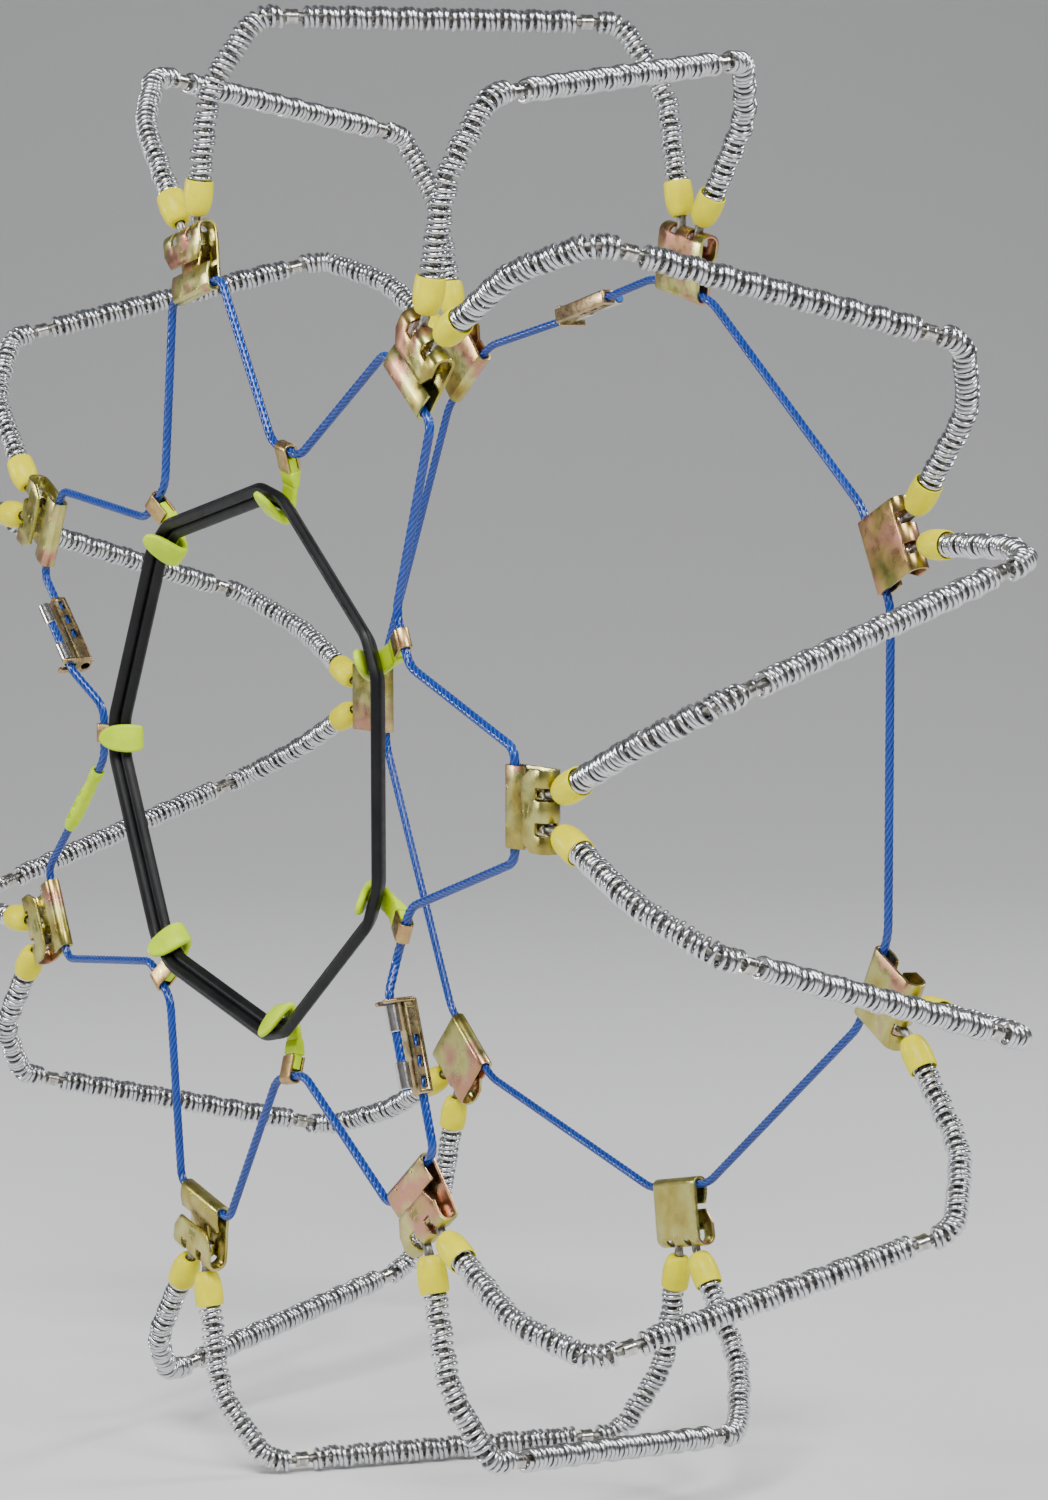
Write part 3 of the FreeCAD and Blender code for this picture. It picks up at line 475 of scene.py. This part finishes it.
def rope(shell, points, radii, radius, lay, groove, step=2.0, columns=24, strands=6):
    """A wire rope: strands laid round a core; groove sets how deep the furrows are."""
    path = eased_path(points, radii, step)
    angles = np.linspace(0, 2 * np.pi, columns, endpoint=False)
    spacing = 1.0 / (1.0 + math.sin(math.pi / strands))
    strand_r = spacing * math.sin(math.pi / strands)
    half = math.pi / strands

    def section(k):
        turn = 2 * math.pi * k * step / lay
        off = (angles - turn + half) % (2 * half) - half
        rise = strand_r ** 2 - (spacing * np.sin(off)) ** 2
        bulge = spacing * np.cos(off) + np.sqrt(np.maximum(rise, 0))
        reach = radius * (1 - groove * (1 - bulge))
        return np.stack([reach * np.cos(angles), reach * np.sin(angles)], axis=1)

    along_axle = abs(unit(points[0], points[1]).y) >= 0.9
    swept(shell, path, Vector((1, 0, 0) if along_axle else (0, 1, 0)), section)


def lathe(shell, outline, place, columns=32):
    """Turns an outline of (along, radius) pairs about local X; the outline closes on itself."""
    angles = np.linspace(0, 2 * np.pi, columns, endpoint=False)
    rings = np.array([[(x, r * math.cos(a), r * math.sin(a)) for x, r in outline] for a in angles])
    rows, wide = rings.shape[:2]
    faces = []
    for row in range(rows):
        there = (row + 1) % rows
        for k in range(wide):
            n = (k + 1) % wide
            faces.append((row * wide + k, there * wide + k, there * wide + n, row * wide + n))
    shell.add(rings.reshape(-1, 3), faces, place)


# ---------------------------------------------------------------- pieces

def add_piece(name, data, node, body, slot, angle=35.0):
    """Puts a finished mesh in place of a CAD node, with its material and its body."""
    piece = bpy.data.objects.new(name, data)
    bpy.context.collection.objects.link(piece)
    data.materials.clear()
    data.materials.append(MATERIALS[slot])
    for polygon in data.polygons:
        polygon.use_smooth = True
    data.set_sharp_from_angle(angle=math.radians(angle))
    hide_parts(node)
    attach(piece, body)
    return piece


def solid_from(shell, name):
    """A working object, to be cut, joined or bevelled and then turned into a plain mesh."""
    data = shell.mesh(name)
    item = bpy.data.objects.new(name, data)
    bpy.context.collection.objects.link(item)
    return item


def block(low, high, name="block"):
    shell = Shell()
    xs, ys, zs = zip(low, high)
    corners = [(x, y, z) for x in xs for y in ys for z in zs]
    faces = [(0, 1, 3, 2), (4, 6, 7, 5), (0, 4, 5, 1), (2, 3, 7, 6), (0, 2, 6, 4), (1, 5, 7, 3)]
    shell.add(corners, faces)
    return solid_from(shell, name)


def combine(item, other, operation):
    """Cuts other from item, or joins it on, and deletes it."""
    modifier = item.modifiers.new("combine", "BOOLEAN")
    modifier.operation = operation
    modifier.solver = "EXACT"
    modifier.object = other
    settle(item)
    bpy.data.objects.remove(other)


def settle(item):
    """Replaces an object's mesh with the result of its modifiers."""
    graph = bpy.context.evaluated_depsgraph_get()
    data = bpy.data.meshes.new_from_object(item.evaluated_get(graph))
    item.modifiers.clear()
    item.data = data


def soften(item, width, segments=2, limit=40.0):
    modifier = item.modifiers.new("soften", "BEVEL")
    modifier.width = width * MM
    modifier.segments = segments
    modifier.limit_method = "ANGLE"
    modifier.angle_limit = math.radians(limit)
    modifier.use_clamp_overlap = True
    settle(item)


def take_mesh(item):
    """The finished mesh of a working object, which goes away."""
    data = item.data
    bpy.data.objects.remove(item)
    return data


def placed_copy(data, place, name):
    """A copy of a mesh that was made in a local frame, moved to its place."""
    copy = data.copy()
    copy.name = name
    move = Matrix.Translation(place.translation * MM) @ place.to_quaternion().to_matrix().to_4x4()
    copy.transform(move)
    return copy


# ---------------------------------------------------------------- clips

def clip_rows():
    """The clip's sheet as (depth, radius, half width, slotted), from flap to tongue."""
    rows = []
    for k in range(4):
        rows.append((FLAP_DEPTH, FLAP_END + (FLAP_CUT_END - FLAP_END) * k / 3,
                     CLIP_HALF - FLAP_CUT * (1 - k / 3), False))
    rows.append((FLAP_DEPTH, SLOT_FROM, CLIP_HALF, True))
    for start, centre in ((0, SIDE_DEPTH + HALF_FLAT), (90, SIDE_DEPTH - HALF_FLAT)):
        for k in range(7):
            a = math.radians(start + 15 * k)
            rows.append((centre + FOLD_R * math.cos(a), FOLD_CENTRE + FOLD_R * math.sin(a),
                         CLIP_HALF, start + 15 * k < 165))
    rows += [(BACK_DEPTH + 0.4, 362, CLIP_HALF, False), (ROLL_BACK - 0.5, 345, CLIP_HALF, False)]
    for start, centre in ((180, SIDE_DEPTH - HALF_FLAT), (270, SIDE_DEPTH + HALF_FLAT)):
        for k in range(7):
            a = math.radians(start + 15 * k)
            rows.append((centre + ROLL_R * math.cos(a), ROLL_CENTRE + ROLL_R * math.sin(a),
                         CLIP_HALF, False))
    rows.append((ROLL_FRONT, LEAN_FROM - 1, CLIP_HALF, False))
    for radius in (LEAN_FROM + 1, 345.5, SHOULDER_AT, 351.0, 355.5, TONGUE_END):
        share = (radius - LEAN_FROM) / (TONGUE_END - LEAN_FROM)
        rows.append((ROLL_FRONT + (TONGUE_DEPTH - ROLL_FRONT) * share, radius, CLIP_HALF, False))
    return rows


def dent(item, x, depth, radius, size, sunk):
    """Presses a round mark into a face that looks away from the tyre."""
    ball = Shell()
    turns = np.linspace(0, math.pi, 9)
    outline = [(-size * math.cos(a), max(0.02, size * math.sin(a))) for a in turns]
    centre = Matrix.Translation((x, depth + size - sunk, radius))
    lathe(ball, outline, centre @ Matrix.Rotation(math.pi / 2, 4, "Z"), 16)
    combine(item, solid_from(ball, "punch"), "DIFFERENCE")


def clip_mesh():
    """Folded sheet: a flap over a narrower tongue, two cable slots and a roll."""
    rows = clip_rows()
    inner = [SLOT_PITCH + SLOT_HALF, TONGUE_HALF, SLOT_PITCH - SLOT_HALF, 0]
    corners = []
    for depth, radius, half, _ in rows:
        for x in [-half] + [-v for v in inner] + inner[-2::-1] + [half]:
            corners.append((x, depth, radius))
    wide = 2 * len(inner) + 1
    faces = []
    shoulder = next(k for k, row in enumerate(rows) if row[1] == SHOULDER_AT)
    for row in range(len(rows) - 1):
        for k in range(wide - 1):
            if rows[row][3] and k in (1, 2, 5, 6):
                continue
            if row >= shoulder and k not in (2, 3, 4, 5):
                continue
            here = row * wide + k
            faces.append((here, here + 1, here + wide + 1, here + wide))
    shell = Shell()
    shell.add(corners, faces)
    item = solid_from(shell, "clip")
    clean = bmesh.new()
    clean.from_mesh(item.data)
    bmesh.ops.delete(clean, geom=[v for v in clean.verts if not v.link_faces], context="VERTS")
    bmesh.ops.recalc_face_normals(clean, faces=clean.faces)
    clean.to_mesh(item.data)
    clean.free()
    thick = item.modifiers.new("sheet", "SOLIDIFY")
    thick.thickness = CLIP_SHEET * MM
    thick.offset = 0.0
    thick.use_even_offset = True
    settle(item)
    soften(item, 0.5, 2, 50)
    half_sheet = CLIP_SHEET / 2
    for x in (-12.3, 12.3):
        dent(item, x, ROLL_FRONT + half_sheet, 334.0, 2.4, 1.0)
    for radius in (357.0, 362.5):
        dent(item, 0.0, FLAP_DEPTH + half_sheet, radius, 1.2, 0.6)
    return take_mesh(item)


# ---------------------------------------------------------------- hooks, straps and ring

def strip(shell, spine, radii, thickness, half_width, corner, step=1.0, widths=None):
    """A flat strip bent along a line in the local YZ plane, with rounded long edges."""
    points = [Vector((0, y, z)) for y, z in spine]
    path = eased_path(points, radii, step)
    count = len(path)
    turns = np.linspace(0, math.pi / 2, 4)

    def section(k):
        share = k / (count - 1)
        half = half_width if widths is None else half_width * widths(share)
        thick = thickness / 2
        if widths is not None:
            thick *= min(1.0, 0.45 + 0.55 * widths(share))
        r = min(corner, thick * 0.98, half * 0.98)
        ring = []
        for quarter, (sx, sy) in enumerate(((1, 1), (-1, 1), (-1, -1), (1, -1))):
            for a in turns:
                b = a + quarter * math.pi / 2
                ring.append((sx * (half - r) + r * math.cos(b),
                             sy * (thick - r) + r * math.sin(b)))
        return np.array(ring)

    swept(shell, path, Vector((1, 0, 0)), section)


def prism(outline, half, name):
    """A local YZ outline made solid across X."""
    count = len(outline)
    corners = [(x, y, z) for x in (-half, half) for y, z in outline]
    faces = [tuple(range(count)), tuple(range(2 * count - 1, count - 1, -1))]
    faces += [(k, k + count, (k + 1) % count + count, (k + 1) % count) for k in range(count)]
    shell = Shell()
    shell.add(corners, faces)
    item = solid_from(shell, name)
    clean = bmesh.new()
    clean.from_mesh(item.data)
    bmesh.ops.recalc_face_normals(clean, faces=clean.faces)
    clean.to_mesh(item.data)
    clean.free()
    return item


def on_strap(below, across):
    """The (depth, radius) of a place down the tilted strap from the side cable, and across it."""
    a = math.radians(STRAP_TILT)
    return (SIDE_DEPTH - below * math.sin(a) + across * math.cos(a),
            HOOK_RADIUS - below * math.cos(a) - across * math.sin(a))


def hook_mesh():
    """A moulded hook: head in the strap, slab stem behind the ring, round curl, and an oval lip
    that lies along the ring's tilted face."""
    shell = Shell()

    def widths(share):
        if share < 0.42:
            return 0.80
        if share < 0.62:
            return 0.80 + 0.20 * math.sin((share - 0.42) / 0.20 * math.pi / 2)
        return max(0.20, math.sqrt(max(0.0, 1 - ((share - 0.62) / 0.385) ** 2.6)))

    spine = [(150.4, 203.5), (150.2, 198.0), (150.1, 166.1), (176.6, 192.6)]
    strip(shell, spine, [12.0, 8.0], 5.2, 10.3, 2.5, 0.6, widths)
    item = solid_from(shell, "hook")
    stem = prism([on_strap(15.4, -4.3), on_strap(15.4, 4.3), (154.6, 203.0), (152.7, 197.5),
                  (147.6, 197.5), (147.5, 204.0)], 8.1, "stem")
    soften(stem, 1.0, 3)
    neck_ends = ((4.9, -2.8), (4.9, 2.8), (18.0, 2.8), (18.0, -2.8))
    neck = prism([on_strap(*end) for end in neck_ends], 6.6, "neck")
    soften(neck, 0.7, 2)
    combine(item, stem, "UNION")
    combine(item, neck, "UNION")
    return take_mesh(item)


def strap_mesh():
    """Folded over the side cable; drawn upright, then tilted about the cable."""
    shell = Shell()
    spine = [(161.3, 208.6), (161.3, 227.3), (152.7, 227.3), (152.7, 208.6)]
    strip(shell, spine, [4.25, 4.25], 1.75, 7.0, 0.5, 0.6)
    data = shell.mesh("strap")
    pivot = Matrix.Translation(Vector((0, SIDE_DEPTH, HOOK_RADIUS)) * MM)
    data.transform(pivot @ Matrix.Rotation(math.radians(-STRAP_TILT), 4, "X") @ pivot.inverted())
    return data


def ring_mesh():
    """The rubber ring: a flat band, tilted, with a narrow slit along its inner face."""
    corners = []
    for k in range(COUNT):
        for way in (-1, 1):
            corners.append(rim_point(RING_RADIUS, way * RING_FLAT / 2, hook_angle(k), RING_DEPTH))
    start = (corners[0] + corners[-1]) / 2
    path = eased_path([start] + corners + [start], [RING_BEND_R * 1.15] * len(corners), 2.5)[:-1]
    half_t, half_w = RING_THICKNESS / 2, RING_WIDTH / 2
    section = []
    for a in np.linspace(0, 2 * math.pi, RING_SIDES, endpoint=False):
        c, s = math.cos(a), math.sin(a)
        x = half_t * math.copysign(abs(c) ** 0.5, c)
        y = half_w * math.copysign(abs(s) ** 0.6, s)
        if c < 0:
            x += 0.9 * math.exp(-((y / 2.4) ** 2)) + 2.6 * math.exp(-((y / 0.9) ** 4))
        section.append((x, y))
    section = np.array(section)
    tilt = math.radians(RING_TILT)
    shell = Shell()
    ahead = np.roll(path, -1, axis=0) - np.roll(path, 1, axis=0)
    ahead /= np.linalg.norm(ahead, axis=1)[:, None]
    kerb = np.array((0.0, -1.0, 0.0))
    outward = np.cross(ahead, kerb)
    outward *= np.sign((outward * path).sum(axis=1))[:, None]
    across = outward * math.cos(tilt) - kerb * math.sin(tilt)
    along = outward * math.sin(tilt) + kerb * math.cos(tilt)
    rings = (path[:, None, :] + section[None, :, :1] * across[:, None, :]
             + section[None, :, 1:] * along[:, None, :])
    shell.skin(rings, closed=True)
    return shell.mesh("ring")


# ---------------------------------------------------------------- cross cables and coils

def cross_route(k, way):
    def half_route(angle, direction, side):
        return [rim_point(END_RADIUS, direction * SLOT_PITCH, angle, side * SIDE_DEPTH),
                rim_point(TURN_RADIUS, direction * SLOT_PITCH, angle, side * SIDE_DEPTH),
                wheel_point(WALL_RADIUS, angle + direction * WALL_LAG, side * WALL_DEPTH),
                wheel_point(SHOULDER_RADIUS, angle + direction * SHOULDER_LAG,
                            side * SHOULDER_DEPTH)]

    outer = half_route(clip_angle(k), way, OUTER_SIDE)
    inner = half_route(clip_angle(k) + way * PITCH / 2, -way, INNER_SIDE)
    return outer + inner[::-1]


HALF_BENDS = [TURN_BEND_R, WALL_BEND_R, SHOULDER_BEND_R]
ROUTES = [cross_route(k, way) for k in range(COUNT) for way in (-1, 1)]


def wound_coil(shell, points, radii, phase):
    """Wire wound round a cable; its turns lean unevenly and slip sideways in bunches."""
    path = eased_path(points, radii, 1.0)
    length = np.linalg.norm(np.diff(path, axis=0), axis=1).sum()
    turns = (length - 2 * (COIL_WIRE_R + COIL_SWAY)) / COIL_PITCH
    angle = np.linspace(0, 2 * math.pi * turns, int(turns * TURN_STEPS))
    along = (COIL_WIRE_R + COIL_SWAY + COIL_PITCH * angle / (2 * math.pi)
             + COIL_SWAY * np.sin(0.75 * angle + phase))
    share = along / length * (len(path) - 1)
    ahead, across, up = carried_frames(path, Vector((1, 0.2, 0.1)))
    index = np.arange(len(path))

    def read(table):
        return np.stack([np.interp(share, index, table[:, axis]) for axis in range(3)], axis=1)

    radius = COIL_R - COIL_WIRE_R - COIL_SLIP / 2
    centre, side, rise = read(path), read(across), read(up)
    slip_side = np.tanh(3 * np.sin(0.25 * angle + phase))[:, None]
    slip_rise = np.tanh(3 * np.sin(0.21 * angle + 2 * phase))[:, None]
    centre = centre + COIL_SLIP * (side * slip_side + rise * slip_rise)
    outward = side * np.cos(angle)[:, None] + rise * np.sin(angle)[:, None]
    wire = centre + outward * radius
    run = np.gradient(wire, axis=0)
    run /= np.linalg.norm(run, axis=1)[:, None]
    outward -= run * (outward * run).sum(axis=1)[:, None]
    outward /= np.linalg.norm(outward, axis=1)[:, None]
    beside = np.cross(run, outward)
    a = np.linspace(0, 2 * math.pi, WIRE_SIDES, endpoint=False)
    rings = (wire[:, None, :] + COIL_WIRE_R * (np.cos(a)[None, :, None] * outward[:, None, :]
                                               + np.sin(a)[None, :, None] * beside[:, None, :]))
    shell.skin(rings)


def tread_lead(route):
    return bend_reach(route, 3, SHOULDER_BEND_R) + COIL_PAST_BEND


def add_coils():
    for number, route in enumerate(ROUTES, start=1):
        lead = tread_lead(route) + COIL_GAP
        run = unit(route[3], route[4]) * lead
        ends = [route[3] + run, route[4] - run]
        shell = Shell()
        wound_coil(shell, ends, [], random.uniform(0, 6.28))
        name = "tread_coil_%02d" % number
        add_piece(name + "_wire", shell.mesh(name + "_wire"), name, name, "coil_steel", 60)
    for node, turned in (("outer_side_coils", False), ("inner_side_coils", True)):
        shell = Shell()
        for route in ROUTES:
            half = route[::-1] if turned else route
            start = half[1] + unit(half[1], half[2]) * (CAP_START + COIL_IN_CAP)
            end = half[3] + unit(half[3], half[4]) * tread_lead(half)
            wound_coil(shell, [start, half[2], half[3], end], [WALL_BEND_R, SHOULDER_BEND_R],
                       random.uniform(0, 6.28))
        add_piece(node + "_wire", shell.mesh(node + "_wire"), node, "chain", "coil_steel", 60)


def cap_outline():
    """A barrel with a narrow neck, a soft mouth and a thin wall."""
    outer = [(0.0, 4.0), (0.1, 5.8), (0.7, 6.9), (2.2, 8.0), (4.6, 9.0), (7.5, 9.75),
             (11.0, 10.25), (15.0, 10.4), (19.0, 10.35), (22.5, 10.1), (24.2, 9.95),
             (24.8, 9.75), (25.0, 9.4)]
    inner = [(25.0, 9.05), (24.6, 8.9), (8.2, 8.9), (7.5, 8.4), (7.5, 3.7), (0.5, 3.7)]
    return outer + inner


def sleeve_outline(length, radius, bore, chamfer):
    return [(0, bore), (0, radius - chamfer), (chamfer, radius), (length - chamfer, radius),
            (length, radius - chamfer), (length, bore)]


def add_cable_fittings():
    ropes, sleeves, stops = Shell(), Shell(), Shell()
    caps = {"outer_end_caps": Shell(), "inner_end_caps": Shell()}
    for route in ROUTES:
        rope(ropes, route, HALF_BENDS + HALF_BENDS[::-1], CROSS_CABLE_R, CROSS_ROPE_LAY, 0.85, 2.0)
        for half, node in ((route, "outer_end_caps"), (route[::-1], "inner_end_caps")):
            lathe(caps[node], cap_outline(), aim(half[1], half[2], CAP_START), 40)
            sleeve = sleeve_outline(SLEEVE_LENGTH, SLEEVE_R, SLEEVE_BORE, 0.5)
            lathe(sleeves, sleeve, aim(half[0], half[1]), 20)
            lead = tread_lead(half) + (COIL_GAP - STOP_LENGTH) / 2
            stop = sleeve_outline(STOP_LENGTH, STOP_R, SLEEVE_BORE, 0.5)
            stop[3:3] = [(2.6, STOP_R), (3.0, 5.2), (6.0, 5.2), (6.4, STOP_R)]
            lathe(stops, stop, aim(half[3], half[4], lead), 24)
    add_piece("cross_cables_rope", ropes.mesh("cross_cables_rope"), "cross_cables", "chain",
              "bare_rope", 50)
    add_piece("cable_end_sleeves_turned", sleeves.mesh("sleeves"), "cable_end_sleeves", "chain",
              "ferrule_steel", 30)
    add_piece("coil_stops_turned", stops.mesh("stops"), "coil_stops", "chain", "ferrule_steel", 30)
    for node, shell in caps.items():
        add_piece(node + "_moulded", shell.mesh(node), node, "chain", "cap_plastic", 40)


# ---------------------------------------------------------------- side cables and connectors

def clip_corner(k, way, side=OUTER_SIDE):
    reach = CLIP_CORNER if side == OUTER_SIDE else INNER_CORNER
    return rim_point(CLIP_RADIUS, way * reach, clip_angle(k, side), side * SIDE_DEPTH)


def hook_corner(k, way):
    return rim_point(HOOK_RADIUS, way * HOOK_CORNER, hook_angle(k), SIDE_DEPTH)


def run_point(start, towards, distance, lift=0.0, side=OUTER_SIDE):
    return start + unit(start, towards) * distance + Vector((0, -side * lift, 0))


def tail_points(start, towards, shift=0.0, side=OUTER_SIDE):
    return [run_point(start, towards, RISE_TO + shift, TAIL_RISE, side),
            run_point(start, towards, TAIL_END + shift, TAIL_RISE, side)]


def outer_cable(first_clip, clips, start_shift, end_shift):
    points = [run_point(hook_corner(first_clip - 1, 1), clip_corner(first_clip, -1),
                        CABLE_IN_PLATE + start_shift)]
    radii = []
    for step in range(clips):
        k = (first_clip + step) % COUNT
        points += [clip_corner(k, -1), clip_corner(k, 1), hook_corner(k, -1), hook_corner(k, 1)]
        radii += [CLIP_BEND_R] * 2 + [HOOK_BEND_R] * 2
    last = (first_clip + clips - 1) % COUNT
    points += tail_points(hook_corner(last, 1), clip_corner(last + 1, -1), end_shift)
    return points, radii + [RISE_BEND_R]


def inner_cable():
    points = []
    for k in range(COUNT):
        points += [clip_corner(k, -1, INNER_SIDE), clip_corner(k, 1, INNER_SIDE)]
    start = (points[-1], points[0])
    first = run_point(*start, CABLE_IN_PLATE + INNER_SHIFT, 0, INNER_SIDE)
    tail = tail_points(*start, INNER_SHIFT, INNER_SIDE)
    return [first] + points + tail, [INNER_BEND_R] * (2 * COUNT) + [RISE_BEND_R]


def plate_mesh():
    """A channel pressed round the cable, with a rolled rim, three windows and a forked tab."""
    item = block((PLATE_START, -PLATE_HALF, -PLATE_HALF), (PLATE_END, PLATE_HALF, PLATE_HALF),
                 "plate")
    soften(item, 1.5, 3)
    tab = block((PLATE_START, -3.0, -TAB_HALF), (PLATE_START + TAB_SHEET, TAB_TOP, TAB_HALF), "tab")
    soften(tab, 1.2, 3)
    combine(item, tab, "UNION")
    bore = Shell()
    near, far = PLATE_START - 5, PLATE_END + 5
    outline = [(near, 0.01), (near, PLATE_BORE), (far, PLATE_BORE), (far, 0.01)]
    lathe(bore, outline, Matrix.Identity(4), 24)
    combine(item, solid_from(bore, "bore"), "DIFFERENCE")
    fork = block((PLATE_START - 2, 8.4, -FORK_HALF), (PLATE_START + 5, 30, FORK_HALF), "fork")
    combine(item, fork, "DIFFERENCE")
    for low, high in ((4.5, 9.0), (-9.0, -4.5)):
        recess = block((PLATE_START + 6, -3.6, low), (PLATE_END - 2.2, 3.6, high), "recess")
        soften(recess, 1.0, 2)
        combine(item, recess, "DIFFERENCE")
    for k in range(3):
        near = 66 + 14 * k
        window = block((near, -2.4, -12), (near + 8, 2.4, 12), "window")
        soften(window, 1.6, 3)
        combine(item, window, "DIFFERENCE")
    return take_mesh(item)


def add_ferrules(shell, frame_matrix):
    outline = sleeve_outline(FERRULE_LENGTH, FERRULE_R, FERRULE_BORE, 0.6)
    for lead in FERRULE_LEADS:
        lathe(shell, outline, frame_matrix @ Matrix.Translation((lead, TAIL_RISE, 0)), 28)


def grip_mesh():
    """A slim grip: squared hook end, waist, thumb rise, and finger slots on the other side."""
    shell = Shell()
    outline = [(14, 3.4), (14, 4.6), (14.6, 5.2), (18, 5.5), (22, 5.3), (27, 4.7), (33, 4.6),
               (39, 5.0), (47, 5.4), (60, 5.6), (72, 5.6), (77, 5.2), (80.4, 4.6), (82, 3.8),
               (82, 3.4)]
    lathe(shell, outline, Matrix.Identity(4), 40)
    item = solid_from(shell, "grip")
    rise = Shell()
    lathe(rise, [(35, 0.05), (36.5, 2.2), (40, 3.2), (43.5, 2.2), (45, 0.05)],
          Matrix.Translation((0, -3.4, 0)), 24)
    combine(item, solid_from(rise, "rise"), "UNION")
    for k in range(3):
        near = 38 + 13 * k
        slot = block((near, 3.9, -1.7), (near + 8, 9, 1.7), "slot")
        soften(slot, 0.8, 2)
        combine(item, slot, "DIFFERENCE")
    return take_mesh(item)


def add_side_cables():
    first, second = CONNECTOR_SHIFTS
    lengths = ((CONNECTOR_CLIPS[0], 4, first, second), (CONNECTOR_CLIPS[1], 3, second, first))
    for number, length in enumerate(lengths, start=1):
        shell = Shell()
        points, radii = outer_cable(*length)
        rope(shell, points, radii, SIDE_CABLE_R, ROPE_LAY, 0.62, 1.4, 30)
        node = "outer_side_cable_%d" % number
        add_piece(node + "_rope", shell.mesh(node), node, "chain", "coated_rope", 60)
    shell = Shell()
    points, radii = inner_cable()
    rope(shell, points, radii, SIDE_CABLE_R, ROPE_LAY, 0.62, 1.4, 30)
    add_piece("inner_side_cable_rope", shell.mesh("inner_cable"), "inner_side_cable", "chain",
              "coated_rope", 60)


def add_connectors():
    plate = plate_mesh()
    places = {}
    for n, (k, slide) in enumerate(zip(CONNECTOR_CLIPS, CONNECTOR_SHIFTS), start=1):
        places[str(n)] = connector_frame(hook_corner(k - 1, 1), clip_corner(k, -1), slide)
    inner = connector_frame(clip_corner(COUNT - 1, 1, INNER_SIDE), clip_corner(0, -1, INNER_SIDE),
                            INNER_SHIFT, INNER_SIDE)
    jobs = [("connector_plate_" + n, "connector_ferrules_" + n, place)
            for n, place in places.items()]
    jobs.append(("inner_connector_plate", "inner_connector_ferrules", inner))
    for plate_node, ferrule_node, place in jobs:
        add_piece(plate_node + "_pressed", placed_copy(plate, place, plate_node), plate_node,
                  "chain", "plate_steel", 30)
        shell = Shell()
        add_ferrules(shell, place)
        add_piece(ferrule_node + "_turned", shell.mesh(ferrule_node), ferrule_node, "chain",
                  "ferrule_steel", 30)


# ---------------------------------------------------------------- assembly

add_camera()
add_studio()
MATERIALS = make_materials()

add_side_cables()
add_cable_fittings()
add_coils()

clip = clip_mesh()
for k in range(COUNT):
    for side, word in ((OUTER_SIDE, "outer"), (INNER_SIDE, "inner")):
        node = "%s_clip_%d" % (word, k + 1)
        mesh = placed_copy(clip, station(clip_angle(k, side), side), node)
        add_piece(node + "_folded", mesh, node, "chain", "clip_steel", 30)

hook, strap = hook_mesh(), strap_mesh()
for k in range(COUNT):
    body = "ring_hook_%d" % (k + 1)
    place = station(hook_angle(k))
    add_piece(body + "_moulded", placed_copy(hook, place, body), body, body, "hook_plastic", 40)
    node = "hook_strap_%d" % (k + 1)
    add_piece(node + "_folded", placed_copy(strap, place, node), node, body, "strap_steel", 40)

add_piece("tensioner_ring_rubber", ring_mesh(), "tensioner_ring", "chain", "ring_rubber", 50)
add_connectors()
slots_outward = Matrix.Rotation(math.pi, 4, "X")
grip_place = aim(hook_corner(GRIP_HOOK, -1), clip_corner(GRIP_HOOK, 1)) @ slots_outward
grip = placed_copy(grip_mesh(), grip_place, "grip")
add_piece("cable_grip_moulded", grip, "cable_grip", "cable_grip", "hook_plastic", 40)
